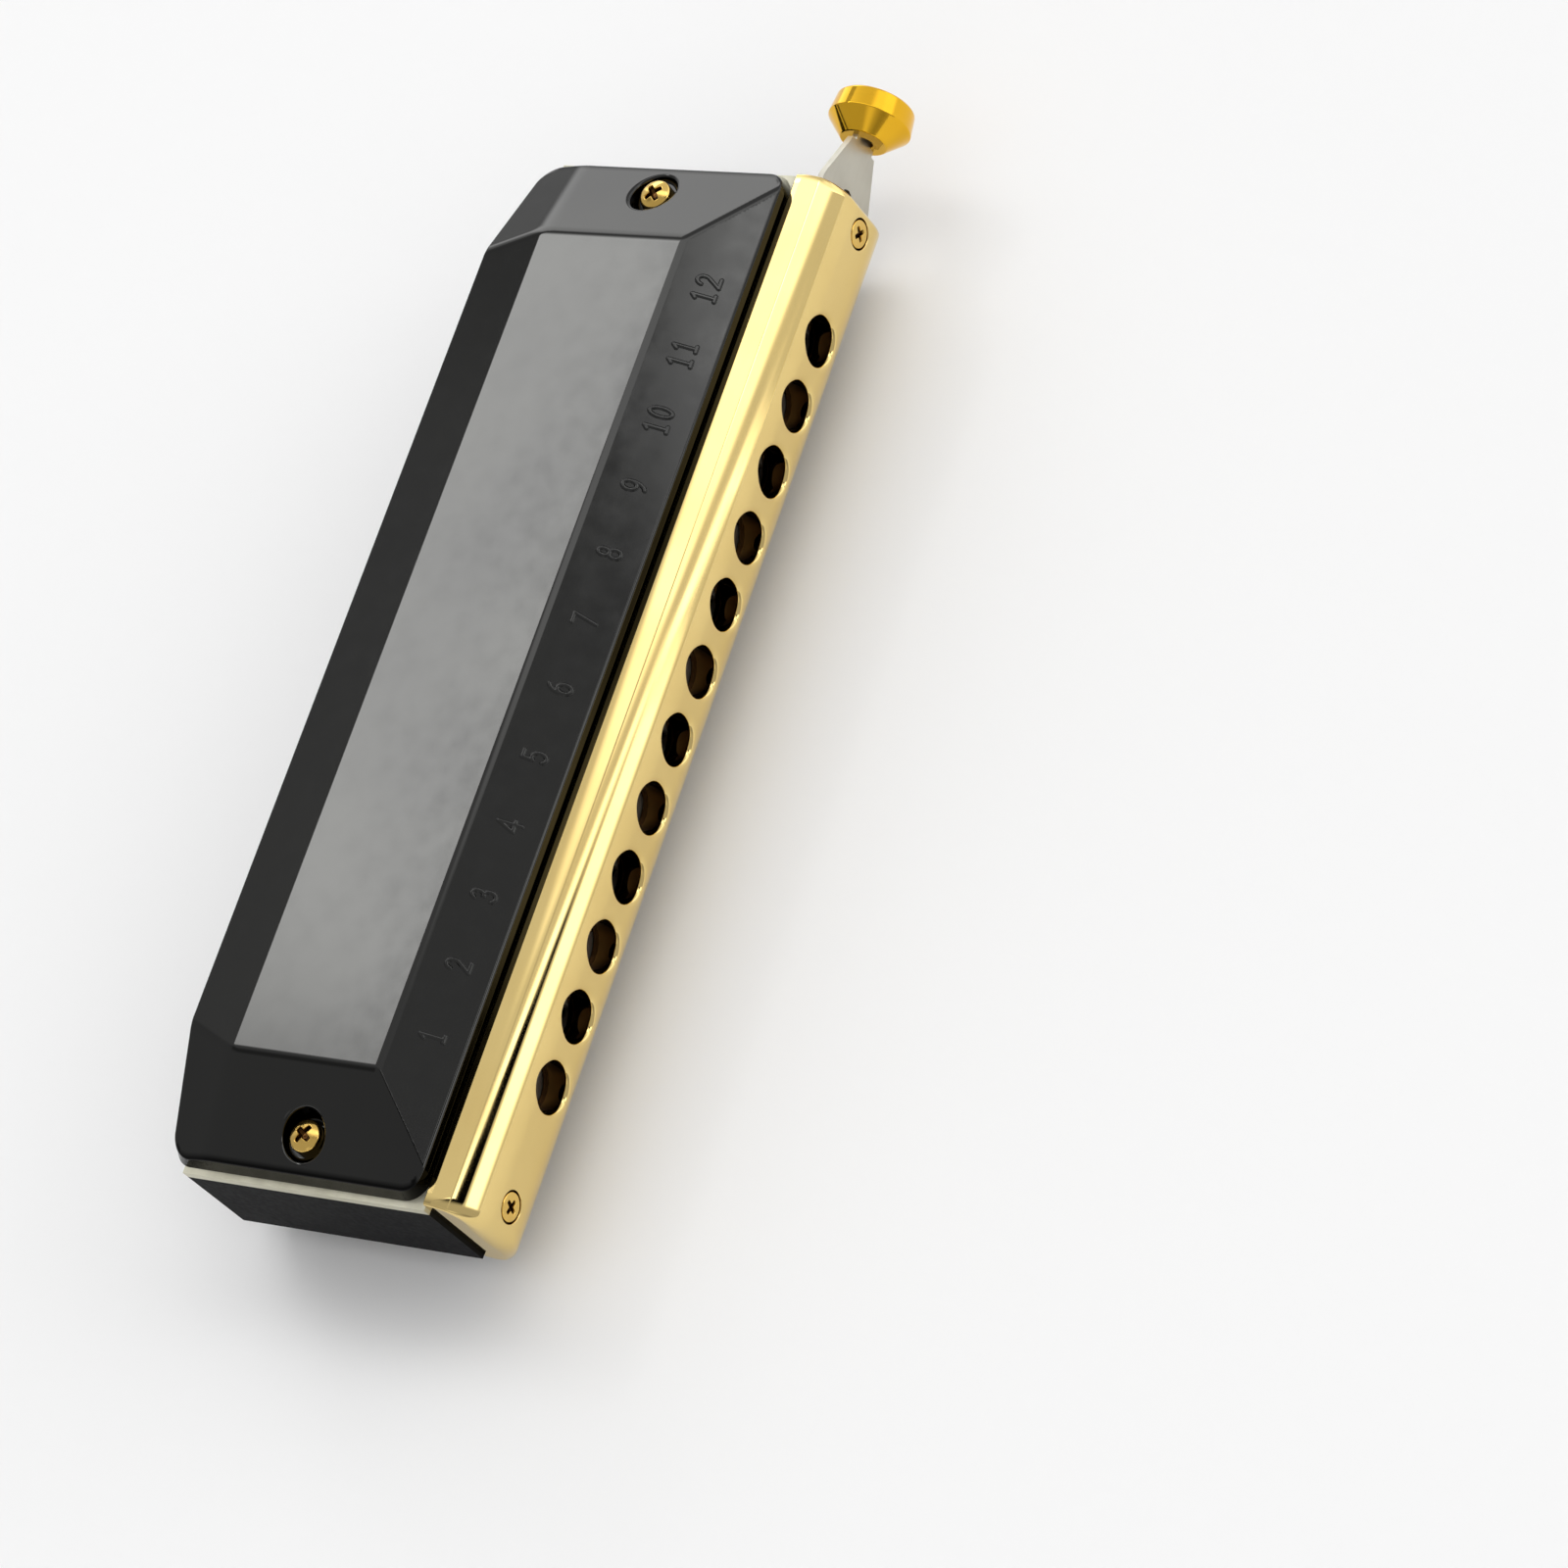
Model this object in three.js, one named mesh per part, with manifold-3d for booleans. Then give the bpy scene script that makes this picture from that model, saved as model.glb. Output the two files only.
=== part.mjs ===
// Chromatic harmonica with twelve breath holes, a sprung slide and a round slide button.
// Millimetres, +Z up. +X runs towards the slide button, +Y towards the open back of the covers.
// Each function draws about the centre line of the breath holes, with y = 0 at the front of the comb.
// The last group moves that drawing so that the part stands on the lower cover's flat panel.

import * as THREE from "three";
import { mergeVertices } from "three/addons/utils/BufferGeometryUtils.js";
import Module from "manifold-3d";

// Breath holes
const holeCount = 12;
const holePitch = 9.1;
const holeRadius = 3.1;
const holeRimRadius = 3.9;

// Clearances
const turnedGap = 0.3;
const runningGap = 0.15;
const coverGap = 0.3;
const overrun = 1;

// Comb
const combLeftEnd = 19.55;
const combRightEnd = 18.85;
const combRearWall = 5.6;
const combHeight = 11.6;
const combFloor = 1.6;
const combLipWidth = 1;
const chamberWall = 2.5;
const chamberCorner = 1.6;
const chamberPastSlot = 2.6;

// Reed plates and reeds
const plateThickness = 1.2;
const slotWidth = 2.3;
const slotSpacing = 3.5;
const slotFront = 6.2;
const longSlot = 20.6;
const shortSlot = 10.6;
const reedWidth = 1.9;
const reedTipWidth = 1.6;
const reedThickness = 0.3;
const reedTipGap = 0.25;
const reedPadLength = 2.6;
const reedPadWidth = 2.5;
const reedPadSetback = 0.2;
const rivetRadius = 0.65;
const rivetRise = 0.3;
const sunkDepth = 0.05;

// Covers
const coverEndInset = 0.7;
const coverOverhang = 2.2;
const coverRise = 6.4;
const sheet = 0.7;
const frontRimRise = 2.5;
const frontRimRadius = 0.8;
const panelFront = 8.5;
const rearSlope = 7.7;
const endSlope = 12.3;
const endRimRise = 1.6;
const rearDrop = 0.5;
const rearEdgeRadius = 1.1;
const shoulderSetback = 4.4;
const shoulderRimRise = 0.3;
const creaseRadius = 3;
const cornerRadius = 3;
const soundOpeningInset = 18.2;
const soundOpeningRise = 5.1;
const soundOpeningCorner = 1.5;
const dimpleRadius = 3.6;

// Cover bolts and nuts
const boltFromEnd = 4.5;
const boltFromFront = 17.8;
const boltShankRadius = 1.2;
const boltHeadRadius = 2.15;
const boltHeadHeight = 1.9;
const boltHeadEdge = 0.8;
const nutRadius = 2.4;
const nutHeight = 1.5;
const crossWidth = 0.55;
const crossLength = 2.3;
const crossDepth = 0.6;

// Mouthpiece
const mouthpieceRise = 0.8;
const mouthpieceDepth = 6.4;
const noseRadius = 5.6;
const rearRadius = 0.7;
const endRadius = 1.2;
const pocketDepth = 3.4;
const pocketEndWall = 0.8;
const screwFromEnd = 3.7;
const screwHeadRadius = 2.1;
const screwHeadHeight = 1.5;
const screwShankRadius = 1.2;
const screwDepth = 12.5;

// Slide with its channel, back plate and button
const channelThickness = 0.65;
const channelLip = 0.45;
const slideThickness = 0.8;
const slideHeight = 12;
const slideEndGap = 0.4;
const slideCorner = 0.7;
const windowWidth = 4;
const windowInner = 0.6;
const windowOuter = 3.2;
const portWidth = 5;
const portInner = 0.8;
const portOuter = 4.2;
const tabShoulder = 1.3;
const tabReach = 8.4;
const tabEndHeight = 5.8;
const tabCorner = 3;
const tongueHeight = 4.2;
const tongueLength = 3;
const buttonLength = 6.2;
const buttonNeckRadius = 2.6;
const buttonWaist = 2.3;
const buttonWaistRadius = 4.6;
const buttonCrown = 4.4;
const buttonCrownRadius = 5.5;
const buttonFaceRadius = 5;
const buttonEdge = 0.4;
const buttonBoreRadius = 1.4;

// Slide spring and its pin
const notchFromEnd = 1.5;
const notchRadius = 0.75;
const wireRadius = 0.4;
const wireTip = 2.3;
const springBendRadius = 1.3;
const springBendDepth = 7.2;
const springLegDepth = 1;
const recessGap = 0.25;
const recessHeight = 4;
const pinRadius = 0.7;
const pinFoot = 2;

// Reed plate screws
const plateScrewShankRadius = 0.6;
const plateScrewHeadRadius = 1.4;
const plateScrewHeadHeight = 0.8;
const plateScrewDepth = 4.6;
const plateScrewFromFront = 3.2;
const plateScrewFromRear = 2.8;
const driverSlot = 0.4;

// Shares and angles
const roundSides = 18;
const smallSides = 10;
const rivetSides = 6;
const buttonSides = 36;
const noseSteps = 5;
const arcSteps = 3;
const chamberSteps = 1;
const wireSteps = 20;
const hexSides = 6;
const springBendTurn = (5 / 6) * Math.PI;
const plateScrewPitches = [-4, 0, 4];

// Sizes that follow from the ones above
const rowHalf = ((holeCount - 1) * holePitch) / 2;
const combLeft = -rowHalf - combLeftEnd;
const combRight = rowHalf + combRightEnd;
const combDepth = slotFront + longSlot + chamberPastSlot + combRearWall;
const chamberWidth = holePitch - chamberWall;
const stackHalf = combHeight / 2 + plateThickness;
const coverHalf = combRight - coverEndInset;
const coverRear = combDepth + coverOverhang;
const coverTop = stackHalf + coverRise;
const panelHalf = coverHalf - endSlope;
const panelRear = coverRear - rearSlope;
const coverMiddle = (panelFront + panelRear) / 2;
const mouthpieceHalf = stackHalf + mouthpieceRise;
const pressTravel = holePitch / 2;
const slideBack = -(pocketDepth - channelThickness - runningGap - slideThickness);
const slideFront = slideBack - slideThickness;
const slideMiddle = (slideBack + slideFront) / 2;
const backPlateFront = slideBack + runningGap;
const boltX = coverHalf - boltFromEnd;
const boltY = boltFromFront;
const screwX = combRight - screwFromEnd;
const pocketLeft = pocketEndWall + turnedGap + screwHeadRadius - screwX;
const channelHalf = slideHeight / 2 + runningGap + channelLip;
const channelLeft = pocketLeft + runningGap;
const slideLeft = channelLeft + pressTravel + slideEndGap;
const tabTaperStart = combRight + tabShoulder;
const tabTaperEnd = combRight + tabReach;
const springNotch = slideLeft + notchFromEnd;
const springCentre = springNotch - springBendRadius;
const springLeave = springCentre + springBendRadius * Math.cos(springBendTurn);
const springReach = springBendDepth + springBendRadius * Math.sin(springBendTurn) - springLegDepth;
const springBrace = springLeave + springReach * Math.tan(springBendTurn);
const pinLow = -recessHeight / 2 - pinFoot;

// Surfaces
const blackChrome = { color: 0x34353a, roughness: 0.22, metalness: 1 };
const goldPlate = { color: 0xe0c478, roughness: 0.2, metalness: 1 };
const reedBrass = { color: 0xcdb37a, roughness: 0.34, metalness: 1 };
const satinSteel = { color: 0xc4bcb4, roughness: 0.36, metalness: 1 };
const buttonGold = { color: 0xd9a430, roughness: 0.22, metalness: 1 };
const blackPlastic = { color: 0x17171a, roughness: 0.5, metalness: 0 };

const wasm = await Module();
wasm.setup();

// A closed three.js geometry as a solid that can be cut and joined.
function solid(geometry) {
  const bare = geometry.clone();
  bare.deleteAttribute("normal");
  bare.deleteAttribute("uv");
  const merged = mergeVertices(bare);
  const vertProperties = new Float32Array(merged.attributes.position.array);
  const triVerts = new Uint32Array(merged.index.array);
  return new wasm.Manifold(new wasm.Mesh({ numProp: 3, vertProperties, triVerts }));
}

// A named mesh with its material, made from a solid.
function piece(name, body, surface) {
  const made = body.getMesh();
  const geometry = new THREE.BufferGeometry();
  geometry.setAttribute("position", new THREE.BufferAttribute(made.vertProperties, 3));
  geometry.setIndex(new THREE.BufferAttribute(made.triVerts, 1));
  const flat = geometry.toNonIndexed();
  flat.computeVertexNormals();
  const mesh = new THREE.Mesh(flat, new THREE.MeshStandardMaterial(surface));
  mesh.name = name;
  return mesh;
}

// The x of a breath hole, counted from 0 at the left end.
function holeX(index) {
  return index * holePitch - rowHalf;
}

function holes() {
  return Array.from({ length: holeCount }, (_, index) => index);
}

// A box between two opposite corners.
function block(low, high) {
  const size = high.map((value, axis) => value - low[axis]);
  const geometry = new THREE.BoxGeometry(...size);
  geometry.translate(...low.map((value, axis) => value + size[axis] / 2));
  return solid(geometry);
}

// A round bar or cone along x, y or z, from one end to the other, about a centre in the other two axes.
function round(axis, centre, from, to, fromRadius, toRadius = fromRadius, sides = roundSides) {
  const geometry = new THREE.CylinderGeometry(toRadius, fromRadius, to - from, sides);
  geometry.translate(0, (to + from) / 2, 0);
  if (axis === "z") {
    geometry.rotateX(Math.PI / 2);
    geometry.translate(centre[0], centre[1], 0);
  }
  if (axis === "y") {
    geometry.translate(centre[0], 0, centre[1]);
  }
  if (axis === "x") {
    geometry.rotateZ(-Math.PI / 2);
    geometry.translate(0, centre[0], centre[1]);
  }
  return solid(geometry);
}

// The points of a closed outline whose corners [u, v, radius] are rounded by arcs.
function roundedPoints(corners, steps = arcSteps) {
  return corners.flatMap(([u, v, radius], index) => {
    const here = new THREE.Vector2(u, v);
    if (!radius) return [here];
    const [beforeU, beforeV] = corners[(index + corners.length - 1) % corners.length];
    const [afterU, afterV] = corners[(index + 1) % corners.length];
    const back = new THREE.Vector2(beforeU, beforeV).sub(here).normalize();
    const on = new THREE.Vector2(afterU, afterV).sub(here).normalize();
    const half = Math.acos(back.dot(on)) / 2;
    const centre = back.clone().add(on).normalize();
    centre.multiplyScalar(radius / Math.sin(half)).add(here);
    const start = back.multiplyScalar(radius / Math.tan(half)).add(here).sub(centre);
    const end = on.multiplyScalar(radius / Math.tan(half)).add(here).sub(centre);
    const turn = Math.atan2(start.cross(end), start.dot(end));
    return Array.from({ length: steps + 1 }, (_, step) => {
      const angle = (turn * step) / steps;
      return start.clone().rotateAround(new THREE.Vector2(), angle).add(centre);
    });
  });
}

// The same corners drawn in by a wall: each side moves inwards and each radius shrinks.
function drawnIn(corners, wall) {
  const sides = corners.map(([u, v], index) => {
    const [nextU, nextV] = corners[(index + 1) % corners.length];
    const along = new THREE.Vector2(nextU - u, nextV - v).normalize();
    const inward = new THREE.Vector2(-along.y, along.x);
    return { point: new THREE.Vector2(u, v).addScaledVector(inward, wall), along };
  });
  return corners.map(([, , radius], index) => {
    const before = sides[(index + sides.length - 1) % sides.length];
    const after = sides[index];
    const between = after.point.clone().sub(before.point);
    const reach = between.cross(after.along) / before.along.cross(after.along);
    const met = before.point.clone().addScaledVector(before.along, reach);
    return [met.x, met.y, radius ? Math.max(radius - wall, wall) : 0];
  });
}

// A bar with the outline's section, along the direction across, from one distance to another.
function bar(corners, right, up, from, to, steps = arcSteps) {
  const shape = new THREE.Shape(roundedPoints(corners, steps));
  const geometry = new THREE.ExtrudeGeometry(shape, { depth: to - from, bevelEnabled: false });
  geometry.translate(0, 0, from);
  const across = right.clone().cross(up);
  geometry.applyMatrix4(new THREE.Matrix4().makeBasis(right, up, across));
  return solid(geometry);
}

const alongX = new THREE.Vector3(1, 0, 0);
const alongY = new THREE.Vector3(0, 1, 0);
const alongZ = new THREE.Vector3(0, 0, 1);

// The corners of a rectangle, all rounded by one radius, running anticlockwise.
function rectangle(left, low, right, high, radius = 0) {
  return [
    [left, low, radius],
    [right, low, radius],
    [right, high, radius],
    [left, high, radius],
  ];
}

// A plate of a plan outline between two heights.
function plan(corners, low, high, steps = arcSteps) {
  return bar(corners, alongX, alongY, low, high, steps);
}

// A bar of an outline in x and z, between two depths.
function elevation(corners, front, rear) {
  return bar(corners, alongX, alongZ, -rear, -front);
}

// Joins or cuts a whole list at once.
function joined(list) {
  return wasm.Manifold.union(list);
}

function cut(body, list) {
  return body.subtract(joined(list));
}

// The same mesh turned over about y, so that an upper piece serves below.
function turnedOver(mesh) {
  mesh.rotation.y = Math.PI;
  return mesh;
}

// Comb

// The two chambers of one hole, on either side of the comb's middle floor.
function chambers(index) {
  const reach = slotRear(holeX(index)) + chamberPastSlot;
  const half = chamberWidth / 2;
  const corners = [
    [-half, -overrun, 0],
    [half, -overrun, 0],
    [half, reach, chamberCorner],
    [-half, reach, chamberCorner],
  ];
  const placed = corners.map(([x, y, radius]) => [x + holeX(index), y, radius]);
  return [
    plan(placed, combFloor / 2, stackHalf, chamberSteps),
    plan(placed, -stackHalf, -combFloor / 2, chamberSteps),
  ];
}

// The pocket in which the spring bends, a gap larger than the wire all round.
function springRecess() {
  const half = recessHeight / 2;
  const around = wireRadius + recessGap;
  const left = springBrace - around;
  const right = springNotch + around;
  const depth = springBendDepth + springBendRadius + around;
  return block([left, -overrun, -half], [right, depth, half]);
}

function boltHoles() {
  const radius = boltShankRadius + turnedGap;
  return [-boltX, boltX].map((x) => round("z", [x, boltY], -coverTop, coverTop, radius));
}

// The screws stand in the walls between chambers, in a front row and a rear row.
function plateScrewPlaces() {
  return [plateScrewFromFront, combDepth - plateScrewFromRear].flatMap((y) =>
    plateScrewPitches.map((pitches) => [pitches * holePitch, y]),
  );
}

function plateScrewHoles() {
  const radius = plateScrewShankRadius + turnedGap;
  const deep = stackHalf - plateScrewDepth - turnedGap;
  return plateScrewPlaces().flatMap((place) => [
    round("z", place, deep, coverTop, radius, radius, rivetSides),
    round("z", place, -coverTop, -deep, radius, radius, rivetSides),
  ]);
}

function mouthpieceScrewHoles() {
  const radius = screwShankRadius + turnedGap;
  const front = -mouthpieceDepth * 2;
  const deep = screwDepth - mouthpieceDepth + turnedGap;
  return [-screwX, screwX].map((x) => round("y", [x, 0], front, deep, radius, radius, smallSides));
}

function comb() {
  const core = block([combLeft, 0, -combHeight / 2], [combRight, combDepth, combHeight / 2]);
  const lips = [combLeft, combRight - combLipWidth].map((x) =>
    block([x, 0, -stackHalf], [x + combLipWidth, combDepth, 0]),
  );
  const pinPlace = [springCentre, springBendDepth];
  const pinHole = round("z", pinPlace, pinLow, coverTop, pinRadius + turnedGap);
  const body = joined([core, ...lips]);
  const openings = [
    ...holes().flatMap(chambers),
    ...boltHoles(),
    ...plateScrewHoles(),
    ...mouthpieceScrewHoles(),
    springRecess(),
    pinHole,
  ];
  return cut(body, openings);
}

// Reed plates

// The slots shorten from the low notes at the left end to the high notes at the right.
function slotRear(x) {
  const share = (x + rowHalf) / (2 * rowHalf);
  return slotFront + THREE.MathUtils.lerp(longSlot, shortSlot, share);
}

function slot(middle, side, lowNotes) {
  const x = middle + (side * slotSpacing) / 2;
  const rear = slotRear(middle * lowNotes);
  return block([x - slotWidth / 2, slotFront, 0], [x + slotWidth / 2, rear, coverTop]);
}

// A riveted reed: the tongue lies over its slot and the wider pad is fixed beyond the slot's end.
// The rivet shows on the plate's outer face, also where the reed itself is on the inner one.
function reed(x, rootY, tipY, face, outward) {
  const forward = Math.sign(tipY - rootY);
  const padNear = rootY - forward * reedPadSetback;
  const padFar = padNear - forward * reedPadLength;
  const tip = tipY - forward * reedTipGap;
  const sections = [
    [padFar, reedPadWidth],
    [padNear, reedPadWidth],
    [padNear, reedWidth],
    [tip, reedTipWidth],
  ];
  const onRight = sections.map(([y, width]) => [x + (forward * width) / 2, y, 0]);
  const onLeft = sections.map(([y, width]) => [x - (forward * width) / 2, y, 0]).reverse();
  const low = Math.min(face - outward * sunkDepth, face + outward * reedThickness);
  const high = Math.max(face - outward * sunkDepth, face + outward * reedThickness);
  const foot = stackHalf - sunkDepth;
  const top = Math.max(stackHalf, high) + rivetRise;
  const centre = [x, (padNear + padFar) / 2];
  const rivet = round("z", centre, foot, top, rivetRadius, rivetRadius, rivetSides);
  return plan([...onRight, ...onLeft], low, high).add(rivet);
}

// The two reeds of one hole: one on the outer face, and one on the inner face pointing the other way.
function reedPair(middle, lowNotes) {
  const rear = slotRear(middle * lowNotes);
  const inner = stackHalf - plateThickness;
  const outerX = middle - slotSpacing / 2;
  const innerX = middle + slotSpacing / 2;
  return joined([
    reed(outerX, rear, slotFront, stackHalf, 1),
    reed(innerX, slotFront, rear, inner, -1),
  ]);
}

// A plate from one end to the other. Its low notes lie to the left (1), or to the right (-1)
// on a plate that is drawn to be turned over.
function reedPlate(left, right, lowNotes) {
  const low = stackHalf - plateThickness;
  const middles = holes().map(holeX);
  const blank = block([left, 0, low], [right, combDepth, stackHalf]);
  const slots = middles.flatMap((middle) => [slot(middle, -1, lowNotes), slot(middle, 1, lowNotes)]);
  const punched = cut(blank, [...slots, ...boltHoles(), ...plateScrewHoles()]);
  return joined([punched, ...middles.map((middle) => reedPair(middle, lowNotes))]);
}

function upperReedPlate() {
  return reedPlate(combLeft, combRight, 1);
}

// The lower plate lies between the comb's end lips.
function lowerReedPlate() {
  const inset = combLipWidth + runningGap;
  return reedPlate(inset - combRight, -combLeft - inset, -1);
}

// Covers

// The front wall, front slope, flat panel and rear strip, drawn in by a wall.
function coverAcross(wall) {
  const corners = [
    [coverGap, stackHalf - 2 * wall, 0],
    [coverRear, stackHalf - 2 * wall, 0],
    [coverRear, coverTop - rearDrop, rearEdgeRadius],
    [panelRear, coverTop, creaseRadius],
    [panelFront, coverTop, creaseRadius],
    [coverGap, stackHalf + frontRimRise, frontRimRadius],
  ];
  return bar(drawnIn(corners, wall), alongY, alongZ, -coverHalf, coverHalf);
}

// The rim seen from above.
function coverRim(wall) {
  const corners = rectangle(-coverHalf, coverGap, coverHalf, coverRear, cornerRadius);
  return plan(drawnIn(corners, wall), stackHalf - 2 * wall, coverTop);
}

// A slope that falls away sideways from a crease, which is turned from y by an angle.
// It passes through the crease's start at the top and through a point on the rim.
function coverSlope(wall, side, turn, start, rimPoint) {
  const right = new THREE.Vector3(side * Math.cos(turn), Math.sin(turn), 0);
  const edge = new THREE.Vector3(side * start[0], start[1], 0).dot(right);
  const rim = new THREE.Vector3(side * rimPoint[0], rimPoint[1], 0).dot(right);
  const steepness = (coverTop - rimPoint[2]) / (rim - edge);
  const beyond = rim + cornerRadius;
  const corners = [
    [-beyond, -coverTop, 0],
    [beyond, -coverTop, 0],
    [beyond, coverTop - (beyond - edge) * steepness, 0],
    [edge, coverTop, creaseRadius],
    [-beyond, coverTop, 0],
  ];
  return bar(drawnIn(corners, wall), right, alongZ, -2 * coverHalf, 2 * coverHalf);
}

// The end slope runs down from the panel's end edge to the end rim.
function coverEnd(wall, side) {
  const start = [panelHalf, panelFront];
  return coverSlope(wall, side, 0, start, [coverHalf, panelFront, stackHalf + endRimRise]);
}

// The rear shoulder falls from the panel's rear corner to the rim's rear corner.
function coverShoulder(wall, side) {
  const turn = Math.atan2(shoulderSetback, rearSlope);
  const start = [panelHalf, panelRear];
  return coverSlope(wall, side, turn, start, [coverHalf, coverRear, stackHalf + shoulderRimRise]);
}

function coverForm(wall) {
  const ends = [1, -1].flatMap((side) => [coverEnd(wall, side), coverShoulder(wall, side)]);
  return [coverRim(wall), ...ends].reduce((form, next) => form.intersect(next), coverAcross(wall));
}

function soundOpening() {
  const half = coverHalf - soundOpeningInset;
  const top = stackHalf + soundOpeningRise;
  const corners = rectangle(-half, 0, half, top, soundOpeningCorner);
  return elevation(corners, coverRear - rearEdgeRadius, coverRear + rearEdgeRadius);
}

function dimpleSeat(x, form) {
  const wall = round("z", [x, boltY], stackHalf, coverTop, dimpleRadius + sheet);
  return wall.intersect(form);
}

function dimple(x) {
  return round("z", [x, boltY], stackHalf + sheet, coverTop + overrun, dimpleRadius);
}

function cover() {
  const form = coverForm(0);
  const shell = form.subtract(coverForm(sheet));
  const seats = [-boltX, boltX].map((x) => dimpleSeat(x, form));
  const dimples = [-boltX, boltX].map(dimple);
  return cut(joined([shell, ...seats]), [...dimples, ...boltHoles(), soundOpening()]);
}

// Mouthpiece

// The nose is a rounded bar whose ends are rounded over, and whose rear edges are rounded along it.
function noseBar() {
  const half = mouthpieceHalf;
  const nose = rectangle(-mouthpieceDepth, -half, endRadius * 2, half);
  nose[0][2] = noseRadius;
  nose[3][2] = noseRadius;
  const geometry = new THREE.ExtrudeGeometry(new THREE.Shape(roundedPoints(nose, noseSteps)), {
    depth: combRight - combLeft - 2 * endRadius,
    bevelThickness: endRadius,
    bevelSize: endRadius,
    bevelOffset: -endRadius,
    bevelSegments: arcSteps,
  });
  geometry.translate(0, 0, endRadius + combLeft);
  geometry.applyMatrix4(new THREE.Matrix4().makeBasis(alongY, alongZ, alongX));
  const rear = rectangle(-mouthpieceDepth * 2, -half, 0, half, rearRadius);
  const trim = bar(rear, alongY, alongZ, combLeft - overrun, combRight + overrun);
  return solid(geometry).intersect(trim);
}

// A round hole with a bevelled rim, which the cone cuts at 45 degrees.
function breathBore(index) {
  const place = [holeX(index), 0];
  const front = -mouthpieceDepth;
  const rimDepth = holeRimRadius - holeRadius;
  const bore = round("y", place, front, 0, holeRadius);
  const rim = round("y", place, front - rimDepth, front + rimDepth, holeRimRadius + rimDepth, holeRadius);
  return bore.add(rim);
}

function slidePocket() {
  const half = channelHalf + runningGap;
  return block([pocketLeft, -pocketDepth, -half], [combRight + overrun, overrun, half]);
}

function screwSeats() {
  const front = -mouthpieceDepth;
  const seat = front + screwHeadHeight;
  const radius = screwHeadRadius + turnedGap;
  return [-screwX, screwX].map((x) => round("y", [x, 0], front * 2, seat, radius));
}

function mouthpiece() {
  const openings = [...holes().map(breathBore), ...mouthpieceScrewHoles(), ...screwSeats(), slidePocket()];
  return cut(noseBar(), openings);
}

// Slide assembly

// A shallow channel in the mouthpiece's pocket: its lips guide the slide's long edges.
function slideChannel() {
  const front = -pocketDepth;
  const half = channelHalf;
  const inner = channelHalf - channelLip;
  const web = block([channelLeft, front, -half], [combRight, backPlateFront, half]);
  const floor = front + channelThickness;
  const way = block([combLeft, floor, -inner], [combRight + overrun, 0, inner]);
  const bores = holes().map((index) => round("y", [holeX(index), 0], front * 2, 0, holeRadius));
  return cut(web, [way, ...bores, ...mouthpieceScrewHoles()]);
}

function ports(index) {
  const left = holeX(index) - portWidth / 2;
  const right = holeX(index) + portWidth / 2;
  return [
    block([left, -mouthpieceDepth, portInner], [right, mouthpieceDepth, portOuter]),
    block([left, -mouthpieceDepth, -portOuter], [right, mouthpieceDepth, -portInner]),
  ];
}

// The plate behind the slide has two ports a hole, and a slot in which the spring's leg travels.
function slideBackPlate() {
  const plate = block([channelLeft, backPlateFront, -channelHalf], [combRight, 0, channelHalf]);
  const left = springNotch - pressTravel - notchRadius;
  const right = springNotch + notchRadius;
  const legSlot = elevation(
    rectangle(left, -notchRadius, right, notchRadius, notchRadius / 2),
    -mouthpieceDepth,
    overrun,
  );
  return cut(plate, [...holes().flatMap(ports), legSlot, ...mouthpieceScrewHoles()]);
}

// One window of the slide between two x values, in the upper row (1) or the lower row (-1).
function slideWindow(left, right, row) {
  const low = Math.min(row * windowInner, row * windowOuter);
  const high = Math.max(row * windowInner, row * windowOuter);
  return block([left, -mouthpieceDepth, low], [right, 0, high]);
}

// The windows form a zigzag: at rest odd holes open above and even holes below, and pressing swaps them.
function slideWindows() {
  const half = windowWidth / 2;
  const last = holeCount - 1;
  const shared = holes().slice(0, last).map((index) => {
    const row = index % 2 ? 1 : -1;
    return slideWindow(holeX(index) + pressTravel - half, holeX(index + 1) + half, row);
  });
  const first = slideWindow(holeX(0) - half, holeX(0) + half, 1);
  const end = slideWindow(holeX(last) + pressTravel - half, holeX(last) + pressTravel + half, 1);
  return [first, ...shared, end];
}

// The stop slot runs along the slide, so that the right mouthpiece screw ends its travel.
function stopSlot() {
  const radius = screwShankRadius + turnedGap;
  const corners = rectangle(screwX - radius, -radius, screwX + pressTravel + radius, radius, radius);
  return elevation(corners, -mouthpieceDepth, 0);
}

function slide() {
  const half = slideHeight / 2;
  const tabHalf = tabEndHeight / 2;
  const tongueHalf = tongueHeight / 2;
  const tongueEnd = tabTaperEnd + tongueLength;
  const outline = [
    [slideLeft, -half, slideCorner],
    [tabTaperStart, -half, tabCorner],
    [tabTaperEnd, -tabHalf, 0],
    [tabTaperEnd, -tongueHalf, 0],
    [tongueEnd, -tongueHalf, 0],
    [tongueEnd, tongueHalf, 0],
    [tabTaperEnd, tongueHalf, 0],
    [tabTaperEnd, tabHalf, 0],
    [tabTaperStart, half, tabCorner],
    [slideLeft, half, slideCorner],
  ];
  const plate = elevation(outline, slideFront, slideBack);
  const radius = notchRadius;
  const notch = round("y", [springNotch, 0], -mouthpieceDepth, 0, radius, radius, smallSides);
  return cut(plate, [...slideWindows(), stopSlot(), notch]);
}

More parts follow.
